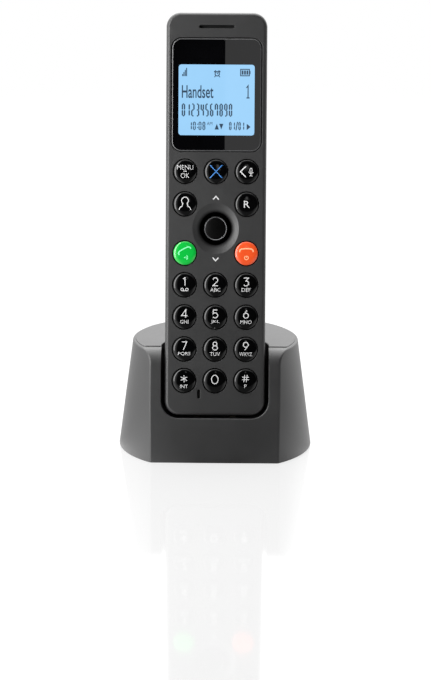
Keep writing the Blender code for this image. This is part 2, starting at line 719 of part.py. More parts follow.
def base_ring(z, inset=0.0, shape_z=None):
    """The base's outline at a height: a circle with a flat front and rounded creases."""
    level = min(z, BASE_HEIGHT) if shape_z is None else shape_z
    radius = BASE_RADIUS - BASE_TAPER * level
    below = BASE_HEIGHT - level
    if below < BASE_RIM_FILLET:
        radius -= BASE_RIM_FILLET - sqrt(BASE_RIM_FILLET ** 2 - (BASE_RIM_FILLET - below) ** 2)
    radius -= inset
    front = inset - front_line(level)
    crease = BASE_CREASE
    centre_y = front + crease
    centre_x = sqrt((radius - crease) ** 2 - centre_y ** 2)
    meet = atan2(centre_y, centre_x)
    points = []
    for step in range(CREASE_STEPS):
        angle = -0.5 * pi + (meet + 0.5 * pi) * step / CREASE_STEPS
        points.append((centre_x + crease * cos(angle), centre_y + crease * sin(angle)))
    for step in range(ARC_STEPS + 1):
        angle = meet + (pi - 2 * meet) * step / ARC_STEPS
        points.append((radius * cos(angle), radius * sin(angle)))
    for step in range(CREASE_STEPS, 0, -1):
        angle = -0.5 * pi + (meet + 0.5 * pi) * (step - 1) / CREASE_STEPS
        points.append((-centre_x - crease * cos(angle), centre_y + crease * sin(angle)))
    return [(x, y, z) for x, y in points]


def base_levels(bottom):
    """Heights for the outer form, close together round the front's top edge and the rim."""
    turn = 0.5 * pi - LEAN
    levels = [bottom, 25 * MM]
    for step in range(FILLET_STEPS + 1):
        angle = LEAN + turn * step / FILLET_STEPS
        levels.append(BASE_HEIGHT - BASE_FRONT_FILLET * (1.0 - sin(angle)))
    levels.append(BASE_HEIGHT - 0.5 * BASE_RIM_FILLET)
    return sorted(levels)


def base_solid(name, bottom, material_name):
    rings = [base_ring(z) for z in base_levels(bottom)]
    return place_in_base(loft(name, rings, material_name))


def base_hollow():
    """The room inside the walls, less the pocket's tub and the four screw bosses."""
    levels = [-2 * MM, 25 * MM, 38 * MM, BASE_HEIGHT - BASE_FRONT_FILLET,
              BASE_HEIGHT - 3.5 * MM, BASE_HEIGHT - BASE_WALL]
    rings = [base_ring(z, BASE_WALL) for z in levels]
    hollow = place_in_base(loft("base_hollow", rings, None))
    combine(hollow, pocket_form("pocket_tub", POCKET_WALL))
    bosses = []
    for name, (x, y) in BASE_SCREWS.items():
        profile = [(0, PLATE_TOP + 0.4 * MM), (3.2 * MM, PLATE_TOP + 0.4 * MM),
                   (3.2 * MM, 60 * MM), (0, 60 * MM)]
        boss = turned(f"boss_{name}", profile, None, segments=SMALL_SEGMENTS, axis="Z")
        place_in_base(boss, x, y, 0.0)
        bosses.append(boss)
    combine(hollow, join_cutters("screw_bosses", bosses))
    return hollow


def pocket_form(name, grow=0.0):
    """The handset's lower end, made larger by the clearance round it, as a form to cut with."""
    front = -8 * MM
    last = HANDSET_DEPTH + POCKET_BACK_GAP + grow
    depths = [front, SIDE_DEPTH] + back_depths(last, 7)
    rings = []
    for depth in depths:
        shape_depth = max(depth, FACE_FILLET + grow)
        ring = handset_ring(
            shape_depth, grow, POCKET_SIDE_GAP, POCKET_END_GAP, POCKET_BACK_GAP,
            high=POCKET_TOP, steps=6,
        )
        rings.append([(x, depth, z) for x, _depth, z in ring])
    return place_in_handset(loft(name, rings, None))


def boss_bore_cutter():
    bores = []
    for name, (x, y) in BASE_SCREWS.items():
        profile = [(0, 2 * MM), (1.5 * MM, 2 * MM), (1.5 * MM, 12.6 * MM), (0, 12.6 * MM)]
        bore = turned(f"bore_{name}", profile, None, segments=SMALL_SEGMENTS, axis="Z")
        place_in_base(bore, x, y, 0.0)
        bores.append(bore)
    return join_cutters("boss_bores", bores)


def contact_slot_cutter():
    slots = []
    for side in (-1, 1):
        middle = side * CONTACT_ACROSS
        low = (middle - 1.9 * MM, CONTACT_DEPTH - 2.0 * MM, -8 * MM)
        high = (middle + 1.9 * MM, CONTACT_DEPTH + 2.0 * MM, 1 * MM)
        slots.append(block("contact_slot", low, high, None))
    return place_in_handset(join_cutters("contact_slots", slots))


def socket_bounds(x, half_width, height, margin=0.0):
    low = (x - half_width - margin, SOCKET_FRONT, BASE_BOARD_TOP + GAP - margin)
    high = (x + half_width + margin, SOCKET_BACK + 8 * MM, BASE_BOARD_TOP + GAP + height + margin)
    return low, high


def rear_opening_cutter():
    pieces = []
    for x, half_width, height in ((LINE_SOCKET_X, 6.5 * MM, 12 * MM),
                                  (POWER_SOCKET_X, 4.5 * MM, 11 * MM)):
        low, high = socket_bounds(x, half_width, height, 0.4 * MM)
        pieces.append(place_in_base(block("socket_opening", low, high, None)))
    return join_cutters("rear_openings", pieces)


def rear_wall_turn():
    """Rotation that carries +Y onto the sloping rear wall's outward normal."""
    return Euler((atan2(BASE_TAPER, 1.0), 0.0, 0.0))


def place_page_part(part):
    radius = BASE_RADIUS - BASE_TAPER * PAGE_HEIGHT
    place_in_base(part, 0.0, radius, PAGE_HEIGHT)
    part.rotation_euler = rear_wall_turn()
    return part


def page_hole_cutter():
    radius = PAGE_RADIUS + KEY_GAP
    profile = [(0, -4 * MM), (radius, -4 * MM), (radius, 4 * MM), (0, 4 * MM)]
    return place_page_part(turned("page_hole", profile, None))


def make_base_shell():
    shell = base_solid("base_upper_shell", BASE_BOTTOM, "shell_charcoal")
    combine(shell, base_hollow())
    combine(shell, pocket_form("pocket"))
    combine(shell, boss_bore_cutter())
    combine(shell, contact_slot_cutter())
    combine(shell, rear_opening_cutter())
    combine(shell, page_hole_cutter())


# ---------------------------------------------------------------- inside and under the base
def make_bottom_plate():
    inset = BASE_WALL + 0.35 * MM
    rings = [base_ring(z, inset, PLATE_TOP) for z in (PLATE_BOTTOM, PLATE_TOP)]
    plate = place_in_base(loft("base_bottom_plate", rings, "shell_charcoal", smooth=False))
    posts = []
    for x in (-16 * MM, 16 * MM):
        for y in (-13 * MM, 24 * MM):
            profile = [(0, 2 * MM), (2 * MM, 2 * MM), (2 * MM, 4.7 * MM), (0, 4.7 * MM)]
            post = turned("board_post", profile, None, segments=SMALL_SEGMENTS, axis="Z")
            posts.append(place_in_base(post, x, y, 0.0))
    combine(plate, join_cutters("board_posts", posts), "UNION")
    recesses = []
    for x, y in FEET.values():
        radius = FOOT_RADIUS + GAP
        profile = [(0, -1 * MM), (radius, -1 * MM), (radius, FOOT_TOP + GAP), (0, FOOT_TOP + GAP)]
        recess = turned("foot_recess", profile, None, segments=SMALL_SEGMENTS, axis="Z")
        recesses.append(place_in_base(recess, x, y, 0.0))
    for x, y in BASE_SCREWS.values():
        profile = [(0, 0), (2.9 * MM, 0), (2.9 * MM, 2.5 * MM), (1.6 * MM, 2.5 * MM),
                   (1.6 * MM, 6 * MM), (0, 6 * MM)]
        hole = turned("plate_hole", profile, None, segments=SMALL_SEGMENTS, axis="Z")
        recesses.append(place_in_base(hole, x, y, 0.0))
    combine(plate, join_cutters("plate_recesses", recesses))


def make_feet():
    for name, (x, y) in FEET.items():
        rim = FOOT_RADIUS - 0.4 * MM
        profile = [(0, 0), (rim, 0), (FOOT_RADIUS, 0.4 * MM), (FOOT_RADIUS, FOOT_TOP),
                   (0, FOOT_TOP)]
        foot = turned(name, profile, "rubber_grey", axis="Z")
        place_in_base(foot, x, y, 0.0)


def make_base_screws():
    profile = [(0, 1.1 * MM), (2.1 * MM, 1.1 * MM), (2.6 * MM, 1.5 * MM), (2.6 * MM, 2.2 * MM),
               (1.2 * MM, 2.2 * MM), (1.2 * MM, 11.5 * MM), (0.6 * MM, 12.2 * MM), (0, 12.2 * MM)]
    for name, (x, y) in BASE_SCREWS.items():
        screw = turned(name, profile, "bare_steel", segments=SMALL_SEGMENTS, axis="Z")
        place_in_base(screw, x, y, 0.0)


def make_base_board():
    low = (-BASE_BOARD_HALF_WIDTH, BASE_BOARD_FRONT, BASE_BOARD_BOTTOM)
    high = (BASE_BOARD_HALF_WIDTH, BASE_BOARD_BACK, BASE_BOARD_TOP)
    place_in_base(block("base_board", low, high, "board_green"))


def make_line_socket():
    """A telephone socket: a box with the plug's room and its latch notch open to the back."""
    bottom = BASE_BOARD_TOP + GAP
    low = (LINE_SOCKET_X - 6.5 * MM, SOCKET_FRONT, bottom)
    high = (LINE_SOCKET_X + 6.5 * MM, SOCKET_BACK, bottom + 12 * MM)
    socket = place_in_base(block("line_socket", low, high, "part_black"))
    low = (LINE_SOCKET_X - 4.9 * MM, SOCKET_FRONT + 3 * MM, bottom + 3.6 * MM)
    high = (LINE_SOCKET_X + 4.9 * MM, SOCKET_BACK + 2 * MM, bottom + 10.6 * MM)
    room = place_in_base(block("plug_room", low, high, None))
    combine(socket, room)
    low = (LINE_SOCKET_X - 3.1 * MM, SOCKET_FRONT + 5 * MM, bottom + 1.6 * MM)
    high = (LINE_SOCKET_X + 3.1 * MM, SOCKET_BACK + 2 * MM, bottom + 5 * MM)
    notch = place_in_base(block("latch_notch", low, high, None))
    combine(socket, notch)


def make_power_socket():
    """A barrel socket: a box with a round hole, and a thin pin left standing in its middle."""
    bottom = BASE_BOARD_TOP + GAP
    low = (POWER_SOCKET_X - 4.5 * MM, SOCKET_FRONT, bottom)
    high = (POWER_SOCKET_X + 4.5 * MM, SOCKET_BACK, bottom + 11 * MM)
    socket = place_in_base(block("power_socket", low, high, "part_black"))
    outer = 3.1 * MM
    pin = 0.8 * MM
    start = SOCKET_BACK - 9.5 * MM
    end = SOCKET_BACK + 2 * MM
    pin_end = SOCKET_BACK - 1 * MM
    profile = [(0, pin_end), (pin, pin_end), (pin, start), (outer, start), (outer, end), (0, end)]
    room = turned("barrel_room", profile, None)
    combine(socket, place_in_base(room, POWER_SOCKET_X, 0.0, bottom + 5.8 * MM))


def hairpin_outline():
    """A thin strip bent over a round top, as (y, z) points: one long leg and one short."""
    thickness = 0.4 * MM
    outer = 1.5 * MM
    top = -0.5 * MM - outer
    steps = 6
    points = [(-outer, -12.0 * MM)]
    for step in range(steps + 1):
        angle = pi - pi * step / steps
        points.append((outer * cos(angle), top + outer * sin(angle)))
    points.append((outer, -6 * MM))
    inner = outer - thickness
    points.append((inner, -6 * MM))
    for step in range(steps + 1):
        angle = pi * step / steps
        points.append((inner * cos(angle), top + inner * sin(angle)))
    points.append((-inner, -12.0 * MM))
    return points


def make_base_contacts():
    half = 1.5 * MM
    for name, side in (("base_contact_left", -1), ("base_contact_right", 1)):
        rings = [[(x, y, z) for y, z in hairpin_outline()] for x in (-half, half)]
        strip = loft(name, rings, "gold_contact", smooth=False)
        place_in_handset(strip, side * CONTACT_ACROSS, CONTACT_DEPTH, 0.0)


def make_page_button():
    """The button on the rear wall that makes a mislaid handset ring, and its switch."""
    profile = [(0, -3.6 * MM), (5.3 * MM, -3.6 * MM), (5.3 * MM, -2.9 * MM),
               (PAGE_RADIUS, -2.9 * MM), (PAGE_RADIUS, 0.5 * MM), (4.1 * MM, 1.0 * MM),
               (2.5 * MM, 1.15 * MM), (0, 1.2 * MM)]
    place_page_part(turned("page_button", profile, "shell_charcoal"))
    profile = [(0, -8.5 * MM), (3.4 * MM, -8.5 * MM), (3.4 * MM, -5.7 * MM),
               (1.7 * MM, -5.7 * MM), (1.7 * MM, -4.8 * MM), (0, -4.8 * MM)]
    place_page_part(turned("page_switch", profile, "part_black", segments=SMALL_SEGMENTS))


# ---------------------------------------------------------------- assembly
def build():
    make_front_shell()
    make_rear_shell()
    make_battery_cover()
    make_window()
    for name, across, along, material_name in key_places():
        make_key(name, across, along, material_name)
    make_joystick()
    make_display_stack()
    make_handset_board()
    make_keypad_mat()
    make_joystick_switch()
    make_sound_parts()
    make_battery_tray()
    make_cells_and_contacts()
    make_handset_screws()
    make_charge_contacts()
    make_base_shell()
    make_bottom_plate()
    make_feet()
    make_base_screws()
    make_base_board()
    make_line_socket()
    make_power_socket()
    make_base_contacts()
    make_page_button()


clear_scene()
PARTS = new_collection(NAME)
CUTTERS = new_collection("cutters")
MATERIALS = make_materials()
build()
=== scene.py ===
"""Looks of a cordless telephone: a handset standing in its base station.

World frame: X to the right seen from the front, Y to the back, Z up, in metres.

Handset frame: x across, y into the handset from its face, z along it from the bottom end.
Pieces are built in that frame and moved to the world by HANDSET. Base pieces are built round
the middle of the base's round outline and moved to the world by BASE.
"""

import json
from math import asin, atan2, cos, pi, radians, sin, sqrt, tan

import bmesh
import bpy
from mathutils import Matrix, Vector


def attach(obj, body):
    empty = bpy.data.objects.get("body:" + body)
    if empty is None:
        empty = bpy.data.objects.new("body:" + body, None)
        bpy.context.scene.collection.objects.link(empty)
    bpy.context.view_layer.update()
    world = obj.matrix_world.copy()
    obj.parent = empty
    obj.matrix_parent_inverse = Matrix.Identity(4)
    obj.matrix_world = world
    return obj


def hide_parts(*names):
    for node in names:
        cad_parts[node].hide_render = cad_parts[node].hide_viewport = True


MM = 0.001

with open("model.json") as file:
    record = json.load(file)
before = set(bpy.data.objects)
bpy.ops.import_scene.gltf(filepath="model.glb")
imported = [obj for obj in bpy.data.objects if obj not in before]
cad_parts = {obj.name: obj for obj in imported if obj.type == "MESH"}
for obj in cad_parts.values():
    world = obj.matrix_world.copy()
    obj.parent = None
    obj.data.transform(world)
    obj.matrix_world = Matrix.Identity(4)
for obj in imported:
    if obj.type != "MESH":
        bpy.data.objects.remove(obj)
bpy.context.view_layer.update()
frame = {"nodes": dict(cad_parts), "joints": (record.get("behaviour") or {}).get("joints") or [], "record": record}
NODES = frame["nodes"]
SCENE = bpy.context.scene

# ---- driving dimensions
HANDSET_WIDTH = 44.0 * MM
HANDSET_LENGTH = 176.0 * MM
HANDSET_DEPTH = 20.5 * MM
HANDSET_CORNER = 6.2 * MM
FACE_FILLET = 1.6 * MM
SIDE_DEPTH = 6.5 * MM
PARTING_DEPTH = 7.0 * MM
PARTING_GAP = 0.3 * MM
PARTING_ROUND = 0.15 * MM
SHELL_WALL = 1.9 * MM
BACK_POWER = 2.6
BACK_END_POWER = 3.0
BACK_END_INSET = 5.0 * MM
BACK_LAST_ANGLE = radians(76.0)

KEY_HALF_WIDTH = 5.0 * MM
KEY_HALF_HEIGHT = 5.15 * MM
KEY_GAP = 0.48 * MM
DOME_POWER = 3.4
KEY_RISE = 0.9 * MM
KEY_EDGE = -0.1 * MM
KEY_BOTTOM = 2.8 * MM
KEY_FLANGE = 0.5 * MM

DISH_HALF_WIDTH = 10.15 * MM
DISH_HALF_HEIGHT = 11.15 * MM
DISH_DEPTH = 2.0 * MM
DISH_WELL_RADIUS = 6.7 * MM
DISH_WELL_DEPTH = 2.7 * MM
DISH_BOSS_RADIUS = 9.0 * MM
DISH_BOSS_DEPTH = 3.4 * MM
# How far past the well the dish's painted shade fades out
DISH_PAINTED_SHADE_WIDTH = 2.2 * MM
STICK_HOLE_RADIUS = 3.0 * MM
STICK_HALF_WIDTH = 5.05 * MM
STICK_HALF_HEIGHT = 5.3 * MM
STICK_STEM_RADIUS = 1.6 * MM
CHEVRON_PLACE = 13.4 * MM

WINDOW_CORNER = 4.2 * MM
WINDOW_GAP = 0.5 * MM
WINDOW_BEVEL = 0.36 * MM
VIEW_HALF_WIDTH = 17.3 * MM
VIEW_LOW = 121.9 * MM
VIEW_HIGH = 154.4 * MM
SCREEN_HALF_WIDTH = 16.57 * MM
SCREEN_LOW = 122.8 * MM
SCREEN_HIGH = 153.5 * MM
SCREEN_CORNER = 1.3 * MM
SCREEN_GAP = 0.04 * MM
SLOT_HALF_WIDTH = 7.7 * MM
SLOT_HALF_HEIGHT = 0.7 * MM
SLOT_HEIGHT = 169.9 * MM
SLOT_CORNER = 0.665 * MM
MIC_ACROSS = -7.0 * MM
MIC_HEIGHT = 9.4 * MM
MIC_HALF_WIDTH = 0.68 * MM
MIC_HALF_HEIGHT = 2.0 * MM
MIC_CORNER = 0.65 * MM
MIC_DEPTH = 1.2 * MM
SCREW_ACROSS = 6.75 * MM
SCREW_HEIGHT = 99.9 * MM

COVER_HALF_WIDTH = 16.0 * MM
COVER_LOW = 40.0 * MM
COVER_HIGH = 106.0 * MM
COVER_CORNER = 3.0 * MM
COVER_FRONT = 14.0 * MM
CONTACT_ACROSS = 8.0 * MM
CONTACT_DEPTH = 10.0 * MM

BASE_RADIUS = 43.4 * MM
BASE_TOP_RADIUS = 36.9 * MM
BASE_HEIGHT = 49.5 * MM
SKIRT_BOTTOM = 0.3 * MM
SKIRT_ROUND = 0.5 * MM
BASE_FRONT = 33.0 * MM
BASE_FRONT_FILLET = 7.5 * MM
BASE_RIM_FILLET = 0.8 * MM
BASE_CREASE = 1.6 * MM
TOP_STEP = 0.35 * MM
BASE_WALL = 2.0 * MM
BASE_CENTRE_Y = -0.5 * (BASE_RADIUS - BASE_FRONT)
BASE_TAPER = (BASE_RADIUS - BASE_TOP_RADIUS) / BASE_HEIGHT
POCKET_SIDE_GAP = 1.65 * MM
POCKET_END_GAP = 1.3 * MM
POCKET_BACK_GAP = 1.0 * MM
POCKET_WALL = 1.8 * MM
POCKET_TOP = 90.0 * MM
POCKET_LIP = 0.45 * MM
PAGE_RADIUS = 4.5 * MM
PAGE_HEIGHT = 32.0 * MM

# How finely round shapes are divided
CORNER_STEPS = 12
SMALL_CORNER_STEPS = 6
KEY_SEGMENTS = 56
DOME_STEPS = 18
DISH_SEGMENTS = 96
BACK_STEPS = 34
POCKET_STEPS = 16
FILLET_STEPS = 12
BASE_SEGMENTS = 120

# Prints stand this far out of the surface they are on, and reach as far into it. A print on a key's
# dome is cut into squares of PRINT_CELL, out to PRINT_REACH, so that it can bend.
PRINT_RISE = 0.03 * MM
PRINT_CELL = 1.0 * MM
PRINT_REACH = 6.0 * MM

# Camera: the photograph's viewing angle
CAMERA_PITCH = radians(14.26)
CAMERA_AZIMUTH = radians(0.54)
CAMERA_ROLL = radians(0.26)
CAMERA_DISTANCE = 1.0
CAMERA_TARGET = Vector((0.0, BASE_CENTRE_Y, 48.0 * MM))
FOCAL_PIXELS = 2226.2
IMAGE_HEIGHT = 680
SENSOR_HEIGHT = 24.0

# Studio light, as lobes of (direction, stops). A stop is (share, brightness), and the share of a
# heading is 0 straight away from the lobe's direction and 1 straight to it.
DARK_SIDE = (0.2, -0.98, 0.0)
KEY_SIDE = (-0.77, -0.64, 0.12)
FILL_SIDE = (0.75, -0.66, 0.0)
OVERHEAD = (-0.1, 0.35, 1.0)
ROOM_LIGHTS = (
    (DARK_SIDE, ((0.0, 1.15), (0.1, 1.8), (0.25, 4.9), (0.4, 2.5), (0.55, 0.95), (0.68, 0.25),
                 (0.8, 0.05), (0.88, 0.01))),
    (KEY_SIDE, ((0.0, 0.0), (0.90, 0.0), (0.93, 0.8), (0.96, 2.2), (1.0, 2.8))),
    (OVERHEAD, ((0.0, 0.0), (0.70, 0.0), (0.84, 0.7), (0.90, 2.2), (0.95, 3.5), (1.0, 3.8))),
)
FLOOR_LIGHTS = (
    (DARK_SIDE, ((0.0, 1.2), (0.6, 1.3), (0.78, 1.2), (0.86, 0.7), (0.93, 0.3), (1.0, 0.25))),
    (KEY_SIDE, ((0.0, 0.0), (0.88, 0.0), (0.94, 1.0), (1.0, 2.0))),
    (FILL_SIDE, ((0.0, 0.0), (0.92, 0.0), (0.96, 0.6), (1.0, 1.0))),
)
FLOOR_REACH = 6.0
FLOOR_GLOW = 0.76
FLOOR_FADE = (0.25, 1.2)
CARD_Y = -0.5
CARD_LEFT = 3.7 * MM
CARD_MARGIN = 3.0 * MM
CARD_GLOW = 2.0
SOFTBOX_PLACE = Vector((-0.175, -0.20, 0.21))
SOFTBOX_TARGET = Vector((0.0, 0.0, 0.12))
SOFTBOX_SIZE = (0.09, 0.34)
SOFTBOX_POWER = 1.1


def extents(node, matrix):
    """A CAD node's lowest and highest corner, seen from another frame."""
    points = [matrix @ vertex.co for vertex in NODES[node].data.vertices]
    low = Vector([min(point[i] for point in points) for i in range(3)])
    high = Vector([max(point[i] for point in points) for i in range(3)])
    return low, high


LIFT = next(joint for joint in frame["joints"] if joint["name"] == "handset_lift")
LEAN = atan2(LIFT["axis"][1], LIFT["axis"][2])
UPRIGHT = Matrix.Rotation(LEAN, 4, "X")
FACE_CORNER = extents("handset_front_shell", UPRIGHT)[0]
HANDSET = UPRIGHT.inverted() @ Matrix.Translation((0.0, FACE_CORNER.y, FACE_CORNER.z))
TO_HANDSET = HANDSET.inverted()
BASE = Matrix.Translation((0.0, BASE_CENTRE_Y, 0.0))
WINDOW_LOW, WINDOW_HIGH = extents("display_window", TO_HANDSET)


# ---- outlines
def spaced(start, end, steps):
    """Evenly spaced values from start to end, with both ends."""
    return [start + (end - start) * step / steps for step in range(steps + 1)]


def arc_points(centre, radius, start, end, steps=14):
    """Points round part of a circle, angles in degrees."""
    points = []
    for degrees in spaced(start, end, steps):
        angle = radians(degrees)
        points.append((centre[0] + radius * cos(angle), centre[1] + radius * sin(angle)))
    return points


def rounded_outline(half_width, low, high, radius, steps=CORNER_STEPS):
    """Rounded rectangle as (across, along) points, with `steps` steps in each corner."""
    right, left = half_width - radius, radius - half_width
    top, bottom = high - radius, low + radius
    corners = ((right, top), (left, top), (left, bottom), (right, bottom))
    points = []
    for quarter, centre in enumerate(corners):
        points += arc_points(centre, radius, 90 * quarter, 90 * (quarter + 1), steps)
    return points


def ellipse(half_width, half_height, centre=(0.0, 0.0), segments=KEY_SEGMENTS):
    points = []
    for angle in spaced(0.0, 2 * pi, segments)[:-1]:
        points.append((centre[0] + half_width * cos(angle), centre[1] + half_height * sin(angle)))
    return points


def growing_rectangle(half_width, low, high, radius, steps=CORNER_STEPS, across=0.0):
    """A rounded rectangle's outline as a function of how far it is grown all round."""
    def outline(grow):
        points = rounded_outline(half_width + grow, low - grow, high + grow, radius + grow, steps)
        return [(across + x, z) for x, z in points]
    return outline


def growing_ellipse(half_width, half_height, centre):
    return lambda grow: ellipse(half_width + grow, half_height + grow, centre)


def at_depth(outline, depth):
    """Points of a flat outline set at a depth in the handset frame."""
    return [(x, depth, z) for x, z in outline]


def back_share(depth, last):
    """How far back a depth is, from 0 where the sides begin to curve to 1 at the back."""
    return min(max((depth - SIDE_DEPTH) / (last - SIDE_DEPTH), 0.0), 1.0)


def back_half_width(depth, half, last):
    """Half of the body's width at a depth behind its face; it narrows towards the back."""
    last_reach = sin(BACK_LAST_ANGLE) ** (2.0 / BACK_POWER)
    reach = back_share(depth, last) * last_reach
    return half * (1.0 - reach ** BACK_POWER) ** (1.0 / BACK_POWER)


def handset_ring(depth, grow=0.0, grow_side=0.0, grow_end=0.0, grow_back=0.0, high=None):
    """The handset's outline at a depth behind its face, grown or shrunk all round."""
    inset = 0.0
    last = HANDSET_DEPTH + grow + grow_back
    fillet = max(FACE_FILLET + grow, 0.2 * MM)
    if depth < fillet - grow:
        inset = fillet - sqrt(max(fillet ** 2 - (fillet - grow - depth) ** 2, 0.0))
    half = back_half_width(depth, 0.5 * HANDSET_WIDTH + grow + grow_side, last) - inset
    end_share = 1.0 - (1.0 - back_share(depth, last) ** BACK_END_POWER) ** (1.0 / BACK_END_POWER)
    end = grow + grow_end - inset - BACK_END_INSET * end_share
    top = high if high is not None else HANDSET_LENGTH + end
    radius = min(HANDSET_CORNER + grow + max(grow_side, grow_end) - inset, half * 0.98)
    return at_depth(rounded_outline(half, -end, top, max(radius, 0.5 * MM)), depth)


def back_depths(start, last, steps):
    """Depths from the parting line to the back, closer together where the back curves most."""
    first = asin((start - SIDE_DEPTH) / (last - SIDE_DEPTH))
    return [SIDE_DEPTH + (last - SIDE_DEPTH) * sin(angle) for angle in spaced(first, 0.5 * pi, steps)]


# ---- mesh builders
def bridge(bm, lower, upper):
    """Quads between two loops of equal length."""
    for i in range(len(lower)):
        bm.faces.new((lower[i - 1], lower[i], upper[i], upper[i - 1]))


def fan(bm, tip, rim):
    """Triangles from a point to a loop."""
    for i in range(len(rim)):
        bm.faces.new((tip, rim[i - 1], rim[i]))


def skin(bm, rings):
    """Join rings of equal length one after another; returns their loops of vertices."""
    loops = [[bm.verts.new(point) for point in ring] for ring in rings]
    for lower, upper in zip(loops, loops[1:]):
        bridge(bm, lower, upper)
    return loops


def close_skin(bm, rings):
    """A closed body from rings: skinned, with its first and last ring capped."""
    loops = skin(bm, rings)
    bm.faces.new(loops[0])
    bm.faces.new(loops[-1])


def close_levels(bm, *levels):
    """A closed body from (outline, depth) levels."""
    close_skin(bm, [at_depth(*level) for level in levels])


def paint(bm, loops, material_index):
    """Give the faces that lie wholly between these loops a material slot of their own."""
    verts = {vert for loop in loops for vert in loop}
    for face in bm.faces:
        if all(vert in verts for vert in face.verts):
            face.material_index = material_index


def fill_flat(bm, loops):
    """Fill the flat region inside the first loop and outside the others."""
    edges = [bm.edges.get((loop[i - 1], loop[i])) for loop in loops for i in range(len(loop))]
    bmesh.ops.triangle_fill(bm, edges=edges, use_beauty=True, normal=(0.0, -1.0, 0.0))


def turned(bm, profile, stretch=(1.0, 1.0), segments=KEY_SEGMENTS):
    """Spin a profile of (radius, depth) points; a radius of 0 closes an end."""
    loops = []
    for radius, depth in profile:
        outline = ellipse(stretch[0] * radius, stretch[1] * radius, segments=segments)
        if radius == 0.0:
            outline = outline[:1]
        loops.append([bm.verts.new(point) for point in at_depth(outline, depth)])
    for lower, upper in zip(loops, loops[1:]):
        if len(lower) == 1:
            fan(bm, lower[0], upper)
        elif len(upper) == 1:
            fan(bm, upper[0], lower)
        else:
            bridge(bm, lower, upper)
    return loops


def box_body(bm, low, high):
    """A box between two corners."""
    made = bmesh.ops.create_cube(bm, size=1.0)
    for vert in made["verts"]:
        vert.co = [lo + (hi - lo) * (c + 0.5) for lo, hi, c in zip(low, high, vert.co)]


def object_from(name, bm, matrix):
    """A plain object from a mesh, with its faces turned outwards."""
    bmesh.ops.remove_doubles(bm, verts=bm.verts, dist=1e-7)
    bmesh.ops.recalc_face_normals(bm, faces=bm.faces)
    mesh = bpy.data.meshes.new(name)
    bm.to_mesh(mesh)
    bm.free()
    mesh.transform(matrix)
    made = bpy.data.objects.new(name, mesh)
    SCENE.collection.objects.link(made)
    return made


def solid(name, matrix, rings):
    """A closed object from rings."""
    bm = bmesh.new()
    close_skin(bm, rings)
    return object_from(name, bm, matrix)


def mesh_of(piece):
    """A new mesh of an object as its modifiers or its font leave it."""
    bpy.context.view_layer.update()
    return bpy.data.meshes.new_from_object(piece.evaluated_get(bpy.context.evaluated_depsgraph_get()))


def carved(solid, *steps):
    """Apply (operation, tool) Booleans to a solid one after another and delete the tools."""
    for index, (operation, tool) in enumerate(steps):
        modifier = solid.modifiers.new(f"step_{index}", "BOOLEAN")
        modifier.operation = operation
        modifier.solver = "EXACT"
        modifier.object = tool
    mesh = mesh_of(solid)
    solid.modifiers.clear()
    solid.data = mesh
    for _operation, tool in steps:
        bpy.data.objects.remove(tool, do_unlink=True)
    return solid


def dress(piece, materials, body, replaced, sharp=radians(32.0)):
    """Smooth a piece, give it its materials, and tie it to its CAD body and node."""
    mesh = piece.data
    for polygon in mesh.polygons:
        polygon.use_smooth = True
    mesh.set_sharp_from_angle(angle=sharp)
    for name in materials:
        mesh.materials.append(MATERIALS[name])
    normals = piece.modifiers.new("weighted_normals", "WEIGHTED_NORMAL")
    normals.keep_sharp = True
    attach(piece, body)
    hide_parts(replaced)


# ---- flat prints, drawn in millimetres
# Widths of lines, and the height of small letters
LINE = 0.37
FINE_LINE = 0.28
THIN_LINE = 0.33
POWER_LINE = 0.32
BOLD_LINE = 0.5
SMALL_LETTER = 1.6


def flat_face(bm, *points):
    """A flat print shape from (across, along) points."""
    bm.faces.new([bm.verts.new((x, 0.0, z)) for x, z in points])


def stroke(bm, points, width, closed=False):
    """A ribbon of even width along a line of points, mitred at its corners."""
    count = len(points)
    left, right = [], []
    for i, (x, z) in enumerate(points):
        before = Vector(points[i - 1 if closed else max(i - 1, 0)])
        after = Vector(points[(i + 1) % count if closed else min(i + 1, count - 1)])
        here = Vector((x, z))
        arriving = (here - before).normalized() if here != before else (after - here).normalized()
        leaving = (after - here).normalized() if after != here else arriving
        side = Vector((-arriving.y - leaving.y, arriving.x + leaving.x)).normalized()
        reach = 0.5 * width / max(side.dot(Vector((-arriving.y, arriving.x))), 0.35)
        left.append(bm.verts.new((x + side.x * reach, 0.0, z + side.y * reach)))
        right.append(bm.verts.new((x - side.x * reach, 0.0, z - side.y * reach)))
    for i in range(count if closed else count - 1):
        j = (i + 1) % count
        bm.faces.new((left[i], left[j], right[j], right[i]))


def strokes(bm, width, *lines):
    """Open ribbons along lines of points."""
    for points in lines:
        stroke(bm, points, width)


def lettering(bm, text, height, centre, width=None, weight=0.0):
    """Text in Blender's own font, scaled to a height and set round a centre."""
    curve = bpy.data.curves.new("lettering", "FONT")
    curve.body = text
    curve.resolution_u = 5
    curve.offset = weight
    writing = bpy.data.objects.new("lettering", curve)
    SCENE.collection.objects.link(writing)
    mesh = mesh_of(writing)
    bpy.data.objects.remove(writing, do_unlink=True)
    xs = [vertex.co.x for vertex in mesh.vertices]
    ys = [vertex.co.y for vertex in mesh.vertices]
    scale_z = height / (max(ys) - min(ys))
    scale_x = width / (max(xs) - min(xs)) if width else scale_z
    middle_x = 0.5 * (max(xs) + min(xs))
    middle_y = 0.5 * (max(ys) + min(ys))
    for vertex in mesh.vertices:
        across = centre[0] + (vertex.co.x - middle_x) * scale_x
        along = centre[1] + (vertex.co.y - middle_y) * scale_z
        vertex.co = (across, 0.0, along)
    bm.from_mesh(mesh)
    bpy.data.meshes.remove(mesh)


